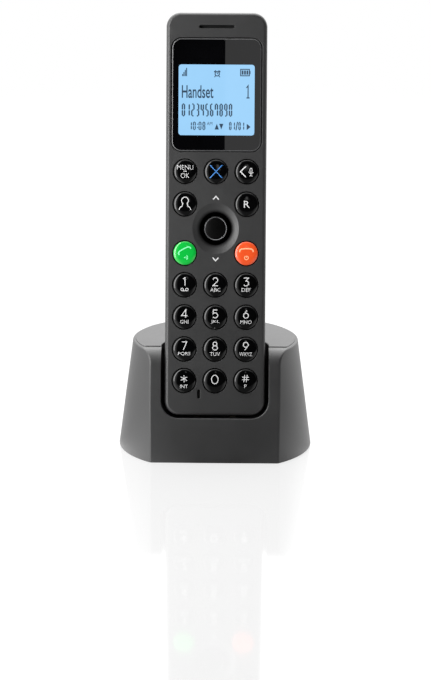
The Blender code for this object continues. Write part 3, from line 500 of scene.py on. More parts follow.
def add_print(target, bm, offset=(0.0, 0.0, 0.0), surface=None):
    """Add flat shapes to a piece, as thin solids in its material slot 1.

    With a surface(x, z) that gives a depth, they are first bent to lie on it."""
    for vert in bm.verts:
        vert.co *= MM
    bmesh.ops.remove_doubles(bm, verts=bm.verts, dist=1e-6)
    if surface:
        lines = int(PRINT_REACH / PRINT_CELL)
        for line in range(-lines, lines + 1):
            for normal in (Vector((1.0, 0.0, 0.0)), Vector((0.0, 0.0, 1.0))):
                bmesh.ops.bisect_plane(
                    bm, geom=bm.verts[:] + bm.edges[:] + bm.faces[:], dist=1e-7,
                    plane_co=line * PRINT_CELL * normal, plane_no=normal,
                )
    for vert in bm.verts:
        vert.co.y = (surface(vert.co.x, vert.co.z) if surface else 0.0) - PRINT_RISE
    made = bmesh.ops.extrude_face_region(bm, geom=bm.faces[:], use_keep_orig=True)
    for item in made["geom"]:
        if isinstance(item, bmesh.types.BMVert):
            item.co.y += 2 * PRINT_RISE
    bmesh.ops.recalc_face_normals(bm, faces=bm.faces)
    for face in bm.faces:
        face.material_index = 1
    mesh = bpy.data.meshes.new("print")
    bm.to_mesh(mesh)
    bm.free()
    mesh.transform(Matrix.Translation(offset))
    target.from_mesh(mesh)
    bpy.data.meshes.remove(mesh)


# ---- materials
def connect(tree, node, inputs):
    """Set a node's inputs, each to a value or to the socket that feeds it."""
    for name, source in inputs.items():
        if isinstance(source, bpy.types.NodeSocket):
            tree.links.new(source, node.inputs[name])
        else:
            node.inputs[name].default_value = source


def add_node(tree, kind, inputs, output=0, operation=None):
    """Add a shader node and return one of its outputs."""
    node = tree.nodes.new("ShaderNode" + kind)
    if operation:
        node.operation = operation
    connect(tree, node, inputs)
    return node.outputs[output]


def add_ramp(tree, factor, stops):
    """Add a colour ramp through (position, colour) stops."""
    node = tree.nodes.new("ShaderNodeValToRGB")
    elements = node.color_ramp.elements
    while len(elements) < len(stops):
        elements.new(1.0)
    for element, (position, colour) in zip(elements, stops):
        element.position = position
        element.color = (*colour, 1.0)
    tree.links.new(factor, node.inputs["Fac"])
    return node.outputs["Color"]


def add_fade(tree, distance, start, end):
    """A soft change from 0 to 1 between two distances."""
    node = tree.nodes.new("ShaderNodeMapRange")
    node.interpolation_type = "SMOOTHSTEP"
    connect(tree, node, {"Value": distance, "From Min": start, "From Max": end})
    return node.outputs["Result"]


MATERIALS = {}


def new_material(name):
    """Keep a new material by its name; returns its node tree."""
    MATERIALS[name] = bpy.data.materials.new(name + "_look")
    MATERIALS[name].use_nodes = True
    return MATERIALS[name].node_tree


def moulded(name, colour, roughness, spread=0.10, rough_spread=0.06, patch=90.0, grain=5200.0,
            bump=0.0, metallic=0.0, shine=0.5, glow=0.0, dark=False):
    """A surface whose colour and gloss drift slowly over it, with a fine grain in relief.

    With `glow` it also gives off its colour, and with `dark` it gives off all of its colour and
    reflects none of it."""
    tree = new_material(name)
    place = add_node(tree, "TexCoord", {}, "Object")
    texture = {"Vector": place, "Scale": patch, "Detail": 6.0, "Roughness": 0.6}
    drift = add_node(tree, "TexNoise", texture, "Fac")
    low, high = 0.3, 0.7
    tint = add_ramp(tree, drift, (
        (low, [part * (1.0 - spread) for part in colour]),
        (high, [min(part * (1.0 + spread), 1.0) for part in colour]),
    ))
    gloss = add_node(tree, "MapRange", {
        "Value": drift, "From Min": low, "From Max": high,
        "To Min": max(roughness - rough_spread, 0.0), "To Max": roughness + rough_spread,
    })
    settings = {"Metallic": metallic, "Specular IOR Level": shine, "Roughness": gloss}
    settings["Base Color"] = (0.01, 0.01, 0.012, 1.0) if dark else tint
    if glow:
        settings["Emission Color"] = tint
        settings["Emission Strength"] = glow
    if bump:
        pits = add_node(tree, "TexNoise", {"Vector": place, "Scale": grain, "Detail": 2.0}, "Fac")
        relief = {"Height": pits, "Strength": bump, "Distance": 0.03 * MM}
        settings["Normal"] = add_node(tree, "Bump", relief)
    connect(tree, tree.nodes["Principled BSDF"], settings)


moulded("shell_charcoal", (0.010, 0.010, 0.0102), 0.44, 0.06, 0.025, bump=0.3)
moulded("key_black", (0.0008, 0.0008, 0.0009), 0.08, 0.2, 0.02, shine=0.3)
# The green and red keys glow faintly: painted light, as they are no lamps
moulded("key_green", (0.003, 0.28, 0.03), 0.10, 0.06, 0.03, glow=0.06)
moulded("key_red", (0.50, 0.055, 0.012), 0.13, 0.06, 0.03, glow=0.06)
moulded("window_black", (0.0008, 0.0008, 0.001), 0.0, 0.3, 0.0, shine=0.23)
# The window's bevel is a lighter grey than the glass: a painted highlight along its edge
moulded("window_edge", (0.055, 0.055, 0.057), 0.38, 0.1, 0.05)
moulded("stick_black", (0.001, 0.001, 0.001), 0.3, 0.2, bump=0.1, shine=0.08)
moulded("screen_blue", (0.337, 0.651, 0.965), 0.03, 0.015, 0.01, shine=0.1, glow=0.98, dark=True)
moulded("diffuser_white", (0.80, 0.80, 0.80), 0.5, 0.05, bump=0.1)
moulded("board_green", (0.01, 0.12, 0.04), 0.35, 0.25, 0.1, 400.0, 2500.0, 0.25)
moulded("rubber_grey", (0.045, 0.045, 0.045), 0.78, 0.15, 0.08, bump=0.5)
moulded("bare_steel", (0.56, 0.56, 0.57), 0.28, 0.06, 0.08, bump=0.25, metallic=1.0)
moulded("gold_contact", (0.30, 0.27, 0.22), 0.30, 0.06, 0.08, bump=0.25, metallic=1.0)
moulded("cell_sleeve", (0.05, 0.20, 0.50), 0.32, 0.08, 0.05, bump=0.1)
moulded("part_black", (0.004, 0.004, 0.004), 0.6, 0.15, bump=0.3, shine=0.2)
moulded("rim_chrome", (0.16, 0.16, 0.165), 0.22, 0.05, metallic=0.9)
moulded("print_white", (0.42, 0.42, 0.42), 0.45, 0.04)
# The blue print glows faintly: painted light
moulded("print_blue", (0.035, 0.15, 0.40), 0.40, 0.05, glow=0.1)
moulded("print_green", (0.16, 0.62, 0.30), 0.40, 0.04)
moulded("print_red", (0.75, 0.34, 0.18), 0.40, 0.04)
moulded("screen_mark", (0.022, 0.055, 0.10), 0.03, 0.05, 0.01, shine=0.1, glow=1.0, dark=True)


def make_dish_painted_shade(middle):
    """The shell's material with painted shade: it goes black, and loses its shine, round the joystick's middle."""
    made = MATERIALS["shell_charcoal"].copy()
    made.name = "dish_painted_shade_look"
    tree = made.node_tree
    shader = tree.nodes["Principled BSDF"]
    place = add_node(tree, "TexCoord", {}, "Object")
    away = add_node(tree, "VectorMath", {0: place, 1: middle}, "Value", "DISTANCE")
    # Painted shade: colour and shine fade to nothing inside the well and a little way beyond it
    share = add_fade(tree, away, DISH_WELL_RADIUS, DISH_WELL_RADIUS + DISH_PAINTED_SHADE_WIDTH)
    colour = {0: shader.inputs["Base Color"].links[0].from_socket, "Scale": share}
    full_shine = shader.inputs["Specular IOR Level"].default_value
    connect(tree, shader, {
        "Base Color": add_node(tree, "VectorMath", colour, "Vector", "SCALE"),
        "Specular IOR Level": add_node(tree, "Math", {0: share, 1: full_shine}, 0, "MULTIPLY"),
    })
    MATERIALS["dish_painted_shade"] = made


def dress_cad_nodes():
    """Give every CAD node the procedural material of its own slot."""
    for subpart in frame["record"]["subparts"]:
        mesh = NODES[subpart["node"]].data
        mesh.materials[0] = MATERIALS[subpart["material_slot"]]


# ---- handset front shell
def key_names():
    return sorted(name for name in NODES if name.startswith("key_"))


def middle_of(node):
    """A node's middle across and along the handset."""
    low, high = extents(node, TO_HANDSET)
    return 0.5 * (low.x + high.x), 0.5 * (low.z + high.z)


def place_of(node):
    """Where a key or the joystick stands: its middle, on the handset's face."""
    across, along = middle_of(node)
    return HANDSET @ Matrix.Translation((across, 0.0, along))


def opening(bm, outline_at, edge_round, floor):
    """An opening's rounded edge and wall down to a floor; returns its top and bottom loops."""
    rings = []
    for angle in spaced(0.0, 0.5 * pi, 4):
        grow = edge_round * (1.0 - sin(angle))
        rings.append(at_depth(outline_at(grow), edge_round * (1.0 - cos(angle))))
    rings.append(at_depth(outline_at(0.0), floor))
    loops = skin(bm, rings)
    # The opening's wall is painted black: painted shade down inside the opening
    paint(bm, loops[-2:], 3)
    return loops[0], loops[-1]


def dish_depth(share):
    """Depth of the dish at a share of its radius, with a soft rim and a well in the middle."""
    inner, outer = 0.985, 1.015
    well, well_edge = DISH_WELL_RADIUS / DISH_HALF_WIDTH, 0.09
    if share >= outer:
        return 0.0
    if share > inner:
        return DISH_DEPTH * (1.0 - inner ** 2) * ((outer - share) / (outer - inner)) ** 2
    bowl = DISH_DEPTH * (1.0 - share ** 2)
    drop = min(max(well - share, 0.0) / well_edge, 1.0)
    return bowl + (DISH_WELL_DEPTH - bowl) * drop * drop * (3.0 - 2.0 * drop)


def dish_surface(bm, centre):
    """The dish, the hole through its floor and the boss behind; returns its face and back loops."""
    hole = STICK_HOLE_RADIUS / DISH_HALF_WIDTH
    well = DISH_WELL_RADIUS / DISH_HALF_WIDTH
    shares = spaced(1.015, 0.985, 4) + spaced(0.93, well, 8) + spaced(well - 0.015, well - 0.09, 5)
    levels = [(share, dish_depth(share)) for share in shares + [hole + 0.02]]
    levels += [(hole, dish_depth(hole) + 0.15 * MM), (hole, DISH_BOSS_DEPTH)]
    rings = []
    for share, depth in levels:
        outline = ellipse(share * DISH_HALF_WIDTH, share * DISH_HALF_HEIGHT, centre, DISH_SEGMENTS)
        rings.append(at_depth(outline, depth))
    boss = ellipse(DISH_BOSS_RADIUS, DISH_BOSS_RADIUS + 1 * MM, centre, DISH_SEGMENTS)
    rings += [at_depth(boss, DISH_BOSS_DEPTH), at_depth(boss, SHELL_WALL)]
    loops = skin(bm, rings)
    # The dish takes the material with painted shade round the joystick
    paint(bm, loops[:-4], 2)
    return loops[0], loops[-1]


def screw_post(bm, centre):
    """A post with a blind bore behind the face; returns its loop on the inner wall."""
    post, bore, end, bore_end = 2.8 * MM, 1.3 * MM, 4.9 * MM, 2.3 * MM
    rings = []
    for radius, depth in ((post, SHELL_WALL), (post, end), (bore, end), (bore, bore_end)):
        rings.append(at_depth(ellipse(radius, radius, centre, 24), depth))
    loops = skin(bm, rings)
    bm.faces.new(loops[-1])
    return loops[0]


def make_front_shell():
    """The face with all its openings, the edge round it and the inner wall; its slots are the shell,
    white print, the dish with painted shade round the joystick, and the openings' walls, painted black as shade."""
    bm = bmesh.new()
    edge = PARTING_DEPTH - 0.5 * PARTING_GAP
    fillet = [FACE_FILLET * (1.0 - cos(angle)) for angle in spaced(0.0, 0.5 * pi, 10)]
    rings = [handset_ring(depth) for depth in fillet + [edge - PARTING_ROUND]]
    rings += [handset_ring(edge, -PARTING_ROUND), handset_ring(edge, PARTING_ROUND - SHELL_WALL)]
    for depth in (edge - PARTING_ROUND, SHELL_WALL + 0.2 * MM, SHELL_WALL):
        rings.append(handset_ring(depth, -SHELL_WALL))
    loops = skin(bm, rings)
    face, inside = [loops[0]], [loops[-1]]

    stick = middle_of("nav_joystick")
    window = growing_rectangle(WINDOW_HIGH.x, WINDOW_LOW.z, WINDOW_HIGH.z, WINDOW_CORNER)
    ledge = WINDOW_HIGH.y + 0.3 * MM
    holes = []
    for name in key_names():
        hole = growing_ellipse(KEY_HALF_WIDTH + KEY_GAP, KEY_HALF_HEIGHT + KEY_GAP, middle_of(name))
        holes.append((hole, 0.12 * MM, SHELL_WALL))
    slot = growing_rectangle(
        SLOT_HALF_WIDTH, SLOT_HEIGHT - SLOT_HALF_HEIGHT, SLOT_HEIGHT + SLOT_HALF_HEIGHT,
        SLOT_CORNER, SMALL_CORNER_STEPS)
    mic = growing_rectangle(
        MIC_HALF_WIDTH, MIC_HEIGHT - MIC_HALF_HEIGHT, MIC_HEIGHT + MIC_HALF_HEIGHT,
        MIC_CORNER, SMALL_CORNER_STEPS, MIC_ACROSS)
    holes += [(slot, 0.2 * MM, SHELL_WALL), (mic, 0.18 * MM, MIC_DEPTH),
              (lambda grow: window(WINDOW_GAP + grow), 0.15 * MM, ledge)]
    for outline_at, edge_round, floor in holes:
        top, bottom = opening(bm, outline_at, edge_round, floor)
        face.append(top)
        inside.append(bottom)
    # The window's opening ends on a ledge and the microphone's on a floor, not on the inner wall
    recess = inside.pop()
    # The microphone's floor is painted black too: painted shade
    bm.faces.new(inside.pop()).material_index = 3

    view = rounded_outline(VIEW_HALF_WIDTH, VIEW_LOW, VIEW_HIGH, 1.2 * MM)
    view_loops = skin(bm, [at_depth(view, ledge), at_depth(view, SHELL_WALL)])
    bridge(bm, recess, view_loops[0])
    dish_face, boss_back = dish_surface(bm, stick)
    face.append(dish_face)
    inside += [view_loops[-1], boss_back]
    inside += [screw_post(bm, (side * SCREW_ACROSS, SCREW_HEIGHT)) for side in (-1, 1)]
    fill_flat(bm, face)
    fill_flat(bm, inside)
    for side in (-1, 1):
        chevron = bmesh.new()
        stroke(chevron, [(-1.25, -0.68 * side), (0.0, 0.68 * side), (1.25, -0.68 * side)], 0.48)
        add_print(bm, chevron, (0.0, 0.0, stick[1] + side * CHEVRON_PLACE))
    make_dish_painted_shade(HANDSET @ Vector((stick[0], 1.5 * MM, stick[1])))
    dress(object_from("handset_front", bm, HANDSET),
          ["shell_charcoal", "print_white", "dish_painted_shade", "part_black"],
          "handset", "handset_front_shell")


# ---- window and screen
def make_window():
    """The black glossy window with a bevelled edge and the screen's opening."""
    back = WINDOW_HIGH.y
    outline = growing_rectangle(WINDOW_HIGH.x, WINDOW_LOW.z, WINDOW_HIGH.z, WINDOW_CORNER)
    view = rounded_outline(SCREEN_HALF_WIDTH, SCREEN_LOW, SCREEN_HIGH, SCREEN_CORNER)
    bm = bmesh.new()
    loops = skin(bm, [
        at_depth(view, back), at_depth(view, 0.0), at_depth(outline(-WINDOW_BEVEL), 0.0),
        at_depth(outline(-0.3 * WINDOW_BEVEL), 0.3 * WINDOW_BEVEL),
        at_depth(outline(0.0), 0.8 * WINDOW_BEVEL), at_depth(outline(0.0), back),
    ])
    bridge(bm, loops[-1], loops[0])
    # The bevel takes the lighter grey: a painted highlight along the window's edge
    paint(bm, loops[2:5], 1)
    dress(object_from("window_glass", bm, HANDSET), ["window_black", "window_edge"],
          "handset", "display_window", radians(20.0))


# A seven-segment digit's bars, between corners (0 left or 1 right, 0 low to 2 high), and which bars
# each digit lights
BARS = {
    "a": ((0, 2), (1, 2)), "b": ((1, 1), (1, 2)), "c": ((1, 0), (1, 1)), "d": ((0, 0), (1, 0)),
    "e": ((0, 0), (0, 1)), "f": ((0, 1), (0, 2)), "g": ((0, 1), (1, 1)),
}
SEGMENTS = {
    "0": "abcdef", "1": "bc", "2": "abdeg", "3": "abcdg", "4": "bcfg",
    "5": "acdfg", "6": "acdefg", "7": "abcf", "8": "abcdefg", "9": "abcdfg",
}


def segment_digit(bm, digit, left, low, width, height, thickness):
    """A seven-segment digit in a box; every segment is a bar with pointed ends."""
    half = 0.5 * thickness
    corner = Vector((left + half, low + half))
    size = Vector((width - thickness, 0.5 * height - half))
    for letter in SEGMENTS[digit]:
        start, end = [corner + Vector(place) * size for place in BARS[letter]]
        along = (end - start).normalized()
        side = half * Vector((-along.y, along.x))
        tip, shoulder = 0.24 * half * along, half * along
        flat_face(bm, start + tip, start + shoulder + side, end - shoulder + side,
                  end - tip, end - shoulder - side, start + shoulder - side)


def screen_bar(bm, left, low, width, height):
    right, high = left + width, low + height
    flat_face(bm, (left, low), (right, low), (right, high), (left, high))


def screen_numbers(bm, text, left, low, width, height, thickness):
    """A row of seven-segment digits, with ':' and '/' taking less room."""
    room = {":": 0.45, "/": 0.75}
    cell = width / sum(room.get(sign, 1.0) for sign in text)
    for sign in text:
        if sign == ":":
            for share in (0.3, 0.7):
                foot = low + share * height - 0.5 * thickness
                screen_bar(bm, left + 0.08 * cell, foot, thickness, thickness)
        elif sign == "/":
            stroke(bm, [(left + 0.05 * cell, low), (left + 0.5 * cell, low + height)], thickness)
        else:
            segment_digit(bm, sign, left, low, 0.74 * cell, height, thickness)
        left += room.get(sign, 1.0) * cell


def screen_marks(bm):
    """Everything the screen shows, from its lower left corner."""
    for bar in range(4):
        screen_bar(bm, 1.5 + 0.58 * bar, 25.6, 0.42, 0.9 + 0.9 * bar)
    x, z = 16.8, 26.7
    stroke(bm, arc_points((x, z), 0.95, 0, 345, 16), 0.42, True)
    stroke(bm, [(x, z + 0.7), (x, z), (x + 0.5, z)], FINE_LINE)
    for side in (-1, 1):
        stroke(bm, [(x + side * 0.75, z - 0.85), (x + side * 1.2, z - 1.5)], 0.36)
        stroke(bm, [(x + side * 0.55, z + 1.4), (x + side * 1.35, z + 0.75)], BOLD_LINE)
    stroke(bm, [(27.0, 25.9), (30.8, 25.9), (30.8, 28.7), (27.0, 28.7)], 0.42, True)
    screen_bar(bm, 30.95, 26.6, 0.35, 1.4)
    for cell in range(3):
        screen_bar(bm, 27.45 + 1.05 * cell, 26.4, 0.78, 1.8)
    lettering(bm, "Handset", 5.6, (8.3, 18.9), 13.8, 0.012)
    strokes(bm, BOLD_LINE, [(29.6, 20.6), (30.3, 21.6), (30.3, 16.3)], [(29.6, 16.3), (31.0, 16.3)])
    screen_numbers(bm, "01234567890", 1.4, 8.1, 22.6, 5.7, 0.58)
    screen_numbers(bm, "10:08", 4.6, 2.2, 7.6, 3.7, 0.44)
    lettering(bm, "AM", 1.4, (13.6, 5.1), 2.4)
    flat_face(bm, (15.8, 2.5), (17.7, 2.5), (16.75, 5.0))
    flat_face(bm, (17.8, 5.0), (18.7, 2.5), (19.6, 5.0))
    screen_numbers(bm, "01/01", 22.1, 2.2, 7.0, 3.7, 0.44)
    flat_face(bm, (29.8, 2.3), (31.5, 3.7), (29.8, 5.1))


def make_screen():
    """The lit screen, level with the window's face, and the panel behind it."""
    lit = rounded_outline(SCREEN_HALF_WIDTH - SCREEN_GAP, SCREEN_LOW + SCREEN_GAP,
                          SCREEN_HIGH - SCREEN_GAP, SCREEN_CORNER - SCREEN_GAP)
    panel = rounded_outline(18.4 * MM, 120.0 * MM, 156.3 * MM, 0.8 * MM)
    panel_front = SHELL_WALL + 0.4 * MM
    panel_back = extents("lcd_panel", TO_HANDSET)[1].y
    bm = bmesh.new()
    close_levels(bm, (lit, 0.0), (lit, panel_front), (panel, panel_front), (panel, panel_back))
    marks = bmesh.new()
    screen_marks(marks)
    add_print(bm, marks, (-SCREEN_HALF_WIDTH, 0.0, SCREEN_LOW))
    dress(object_from("screen", bm, HANDSET), ["screen_blue", "screen_mark"],
          "handset", "lcd_panel")


# ---- keys' marks, from a key's middle
def draw_cross(bm):
    """A cross whose second arm is broken by the first."""
    strokes(bm, LINE, [(-2.65, -2.8), (2.65, 2.8)],
            [(-2.65, 2.8), (-0.22, 0.23)], [(0.22, -0.23), (2.65, -2.8)])


def draw_back_and_mute(bm):
    stroke(bm, [(-0.5, 2.35), (-2.85, 0.0), (-0.5, -2.35)], BOLD_LINE)
    across = 1.75
    capsule = [(across + x, z) for x, z in rounded_outline(0.45, -0.35, 1.55, 0.44, 4)]
    stroke(bm, capsule, FINE_LINE, True)
    strokes(bm, FINE_LINE, arc_points((across, 0.1), 0.95, 190, 350, 8),
            [(across, -0.98), (across, -1.65)], [(across - 0.65, -1.75), (across + 0.65, -1.75)])


def draw_person(bm):
    """Head and shoulders as one line, open at the bottom."""
    head = arc_points((0.0, 1.45), 1.5, 232, -52, 18)
    left = arc_points((-0.9, -2.6), 1.6, 180, 105, 8)
    right = arc_points((0.9, -2.6), 1.6, 75, 0, 8)
    stroke(bm, left + head + right, LINE)


def draw_recall(bm):
    lettering(bm, "R", 3.0, (0.0, 0.0), 2.5)


def draw_menu(bm):
    lettering(bm, "MENU", 2.0, (0.0, 1.75), 7.0, -0.012)
    stroke(bm, [(-0.75, 0.05), (0.75, 0.05)], FINE_LINE)
    lettering(bm, "OK", 2.1, (0.0, -1.85), 3.7, -0.012)


def draw_voicemail(bm):
    """Two reels on a tape."""
    for side in (-1, 1):
        stroke(bm, arc_points((side, -2.0), 0.58, 0, 345), FINE_LINE, True)
    stroke(bm, [(-1.0, -2.58), (1.0, -2.58)], FINE_LINE)


def draw_receiver(bm, centre, turn):
    """A handset lying face down, as one bent line, turned by an angle round its middle."""
    half = [(3.0, -0.75), (2.8, 0.15), (2.1, 0.6)]
    line = [(-x, z) for x, z in half] + [(0.0, 0.75)] + half[::-1]
    stroke(bm, [(centre[0] + x * cos(turn) - z * sin(turn), centre[1] + x * sin(turn) + z * cos(turn))
                for x, z in line], BOLD_LINE)


def draw_talk(bm):
    draw_receiver(bm, (-0.2, 1.2), radians(28))
    for radius in (0.5, 1.1):
        stroke(bm, arc_points((0.2, -1.9), radius, -60, 60, 8), FINE_LINE)
    stroke(bm, [(-0.25, -1.9), (0.25, -1.9)], BOLD_LINE)


def draw_end(bm):
    draw_receiver(bm, (0.0, 1.4), 0.0)
    strokes(bm, POWER_LINE, arc_points((0.0, -1.9), 0.85, 115, 425), [(0.0, -1.8), (0.0, -0.95)])


def draw_star(bm):
    for angle in (90, 30, 150):
        stroke(bm, arc_points((0.0, 0.9), SMALL_LETTER, angle, angle + 180, 1), THIN_LINE)
    lettering(bm, "INT", SMALL_LETTER, (0.0, -2.5), 3.4)


def draw_hash(bm):
    for side in (-1, 1):
        strokes(bm, THIN_LINE, [(0.55 * side - 0.2, -0.35), (0.55 * side + 0.2, 2.75)],
                [(-1.5, 1.2 + 0.55 * side), (1.5, 1.2 + 0.55 * side)])
    lettering(bm, "P", SMALL_LETTER, (0.0, -2.2))


SYMBOLS = {
    "key_block": draw_cross, "key_back_mute": draw_back_and_mute, "key_contacts": draw_person,
    "key_recall": draw_recall, "key_menu_ok": draw_menu, "key_talk": draw_talk,
    "key_end": draw_end, "key_star": draw_star, "key_hash": draw_hash,
}
KEY_COLOURS = {
    "key_block": ("key_black", "print_blue"), "key_talk": ("key_green", "print_green"),
    "key_end": ("key_red", "print_red"),
}
# The letters on each digit's key and how wide they are
LETTERS = {
    "2": ("ABC", 4.5), "3": ("DEF", 4.0), "4": ("GHI", 3.6), "5": ("JKL", 3.7), "6": ("MNO", 4.9),
    "7": ("PQRS", 5.4), "8": ("TUV", 4.5), "9": ("WXYZ", 5.6),
}


# Digits' closed and open lines, in shares of a digit's height round its middle
DIGIT_LOOPS = {
    "0": [ellipse(0.385, 0.5, segments=32)],
    "6": [ellipse(0.31, 0.31, (0.0, -0.19), 24)],
    "8": [ellipse(0.245, 0.235, (0.0, 0.265), 20), ellipse(0.30, 0.265, (0.0, -0.235), 24)],
    "9": [ellipse(0.31, 0.31, (0.0, 0.19), 24)],
}
DIGIT_LINES = {
    "1": [(-0.20, 0.32), (0.06, 0.5), (0.06, -0.5)],
    "2": arc_points((0.0, 0.21), 0.29, 165, -38) + [(-0.32, -0.5), (0.33, -0.5)],
    "3": [(-0.29, 0.5), (0.27, 0.5), (-0.03, 0.12)] + arc_points((-0.02, -0.18), 0.32, 75, -145),
    "4": [(0.37, -0.24), (-0.37, -0.24), (0.17, 0.5), (0.17, -0.5)],
    "5": [(0.28, 0.5), (-0.23, 0.5), (-0.27, 0.03)] + arc_points((-0.01, -0.18), 0.32, 125, -145),
    "6": [(0.13, 0.5), (-0.26, -0.04)],
    "7": [(-0.31, 0.5), (0.31, 0.5), (-0.1, -0.5)],
    "9": [(-0.13, -0.5), (0.26, 0.04)],
}


def draw_digit(bm, digit):
    height, middle = (3.75, 0.65) if digit == "0" else (3.5, 1.45)
    lines = [(loop, True) for loop in DIGIT_LOOPS.get(digit, [])]
    if digit in DIGIT_LINES:
        lines.append((DIGIT_LINES[digit], False))
    for points, closed in lines:
        stroke(bm, [(x * height, middle + z * height) for x, z in points], LINE, closed)
    if digit == "1":
        draw_voicemail(bm)
    elif digit in LETTERS:
        text, width = LETTERS[digit]
        lettering(bm, text, SMALL_LETTER, (0.0, -2.05), width)


# ---- keys and joystick
def dome_depth(x, z):
    """Depth of a key's domed top at a point measured from its middle."""
    share = min(sqrt((x / KEY_HALF_WIDTH) ** 2 + (z / KEY_HALF_HEIGHT) ** 2), 1.0)
    return KEY_EDGE - (KEY_RISE + KEY_EDGE) * sqrt(1.0 - share ** DOME_POWER)


def key_profile():
    """Half section of a key from its underside to the top of its dome."""
    flange = 1.0 + KEY_FLANGE / KEY_HALF_WIDTH
    shoulder = KEY_BOTTOM - KEY_FLANGE
    profile = [(0.0, KEY_BOTTOM), (flange, KEY_BOTTOM), (flange, shoulder), (1.0, shoulder)]
    for angle in spaced(0.0, 0.5 * pi, DOME_STEPS)[:-1]:
        radius = cos(angle) ** (2.0 / DOME_POWER)
        profile.append((radius, KEY_EDGE - (KEY_RISE + KEY_EDGE) * sin(angle)))
    return profile + [(0.0, -KEY_RISE)]


def add_nub(bm):
    """The raised dot at the 5 key's lower edge, for finding it by touch."""
    radius, along = 0.5 * MM, -4.9 * MM
    made = bmesh.ops.create_uvsphere(bm, u_segments=16, v_segments=8, radius=radius)
    for vert in made["verts"]:
        vert.co = (vert.co.x, dome_depth(0.0, along) + 0.7 * vert.co.y, along + vert.co.z)


def make_key(name):
    bm = bmesh.new()
    loops = turned(bm, key_profile(), (KEY_HALF_WIDTH, KEY_HALF_HEIGHT))
    # The key's underside and sides, in the gap round it, are black: painted shade
    paint(bm, loops[:5], 2)
    marks = bmesh.new()
    if name in SYMBOLS:
        SYMBOLS[name](marks)
    else:
        draw_digit(marks, name[-1])
    add_print(bm, marks, surface=dome_depth)
    if name == "key_5":
        add_nub(bm)
    cap, ink = KEY_COLOURS.get(name, ("key_black", "print_white"))
    dress(object_from(name + "_cap", bm, place_of(name)), [cap, ink, "part_black"], name, name)


def make_joystick():
    """A black cap with a bright raised rim, on a stem."""
    # Half section as (share of the cap's radius, depth in millimetres)
    stem = STICK_STEM_RADIUS / STICK_HALF_WIDTH
    under = [(0.0, 3.4), (stem, 3.4), (stem, 0.95), (0.9, 0.8)]
    rim = [(0.96, 0.68), (0.995, 0.5), (1.0, 0.25), (0.99, 0.05), (0.965, -0.1), (0.93, -0.13),
           (0.905, -0.06)]
    cap_radius, cap_depth, cap_rise = 0.86, -0.02, 0.43
    top = [(0.89, 0.02)]
    for share in spaced(cap_radius, 0.0, 11):
        top.append((share, cap_depth - cap_rise * (1.0 - (share / cap_radius) ** 2)))
    bm = bmesh.new()
    profile = [(radius, depth * MM) for radius, depth in under + rim + top]
    loops = turned(bm, profile, (STICK_HALF_WIDTH, STICK_HALF_HEIGHT), DISH_SEGMENTS)
    paint(bm, loops[len(under) - 1:len(under) + len(rim)], 1)
    cap = object_from("joystick_cap", bm, place_of("nav_joystick"))
    dress(cap, ["stick_black", "rim_chrome"], "nav_joystick", "nav_joystick")


# ---- handset back
def handset_body(name, start, last, grow=0.0):
    """The back half's form between two depths, as an object to carve."""
    rings = [handset_ring(depth, grow) for depth in back_depths(start, last, BACK_STEPS)]
    if grow == 0.0:
        rings[:1] = [handset_ring(start, -PARTING_ROUND), handset_ring(start + PARTING_ROUND)]
    return solid(name, HANDSET, rings)


def back_half(name, *steps):
    """The back half of the handset as a shell, carved by some steps before it is hollowed."""
    body = handset_body(name, PARTING_DEPTH + 0.5 * PARTING_GAP, HANDSET_DEPTH)
    hollow = handset_body("hollow", PARTING_DEPTH - 0.4 * MM, HANDSET_DEPTH - SHELL_WALL, -SHELL_WALL)
    return carved(body, *steps, ("DIFFERENCE", hollow))


def cover_form(name, margin=0.0):
    """The battery cover's outline, right through the back."""
    outline = growing_rectangle(COVER_HALF_WIDTH, COVER_LOW, COVER_HIGH, COVER_CORNER)(margin)
    depths = (COVER_FRONT, HANDSET_DEPTH + 3.5 * MM)
    return solid(name, HANDSET, [at_depth(outline, depth) for depth in depths])


def bar_outline(middle, half_width, half_height, radius):
    """A bar with nearly round ends, lying across the handset; its sizes are in millimetres."""
    low, high = middle - half_height, middle + half_height
    outline = rounded_outline(half_width, low, high, radius, SMALL_CORNER_STEPS)
    return [(x * MM, z * MM) for x, z in outline]


def contact_boxes(bm, along, half_size):
    """A box round each charging contact's place."""
    for side in (-1, 1):
        middle = Vector((side * CONTACT_ACROSS, CONTACT_DEPTH, along))
        box_body(bm, middle - half_size, middle + half_size)


def back_openings():
    """Sound slots over the loudspeaker and openings for the charging contacts."""
    bm = bmesh.new()
    for row in range(5):
        outline = bar_outline(136.0 + 3.2 * row, 6.5, 0.6, 0.58)
        close_levels(bm, (outline, 17 * MM), (outline, 23 * MM))
    contact_boxes(bm, 1 * MM, Vector((2.8, 2.3, 3.0)) * MM)
    return object_from("back_openings", bm, HANDSET)


def make_rear_shell():
    shell = back_half("handset_back")
    carved(shell, ("DIFFERENCE", cover_form("cover_opening", PARTING_GAP)),
           ("DIFFERENCE", back_openings()))
    dress(shell, ["shell_charcoal"], "handset", "handset_rear_shell")


def grip_ridges():
    """Three low bars near the top of the battery cover, for a thumb to push on."""
    bm = bmesh.new()
    for row in range(3):
        middle = 95.0 + 3.0 * row
        foot = bar_outline(middle, 7.0, 0.55, 0.54)
        top = bar_outline(middle, 6.7, 0.25, 0.24)
        close_levels(bm, (foot, HANDSET_DEPTH - 0.5 * MM), (foot, HANDSET_DEPTH + 0.1 * MM),
                     (top, HANDSET_DEPTH + 0.3 * MM))
    return object_from("grip_ridges", bm, HANDSET)


def make_battery_cover():
    cover = carved(back_half("battery_lid", ("INTERSECT", cover_form("cover_form"))),
                   ("UNION", grip_ridges()))
    dress(cover, ["shell_charcoal"], "battery_cover", "battery_cover")


# ---- base outline
def front_corner():
    """How long the front's top fillet is along each side of the corner it rounds, and how far in
    front of the round outline's middle its centre is."""
    tangent = BASE_FRONT_FILLET * tan(0.5 * (0.5 * pi - LEAN))
    return tangent, BASE_FRONT - BASE_HEIGHT * tan(LEAN) - tangent


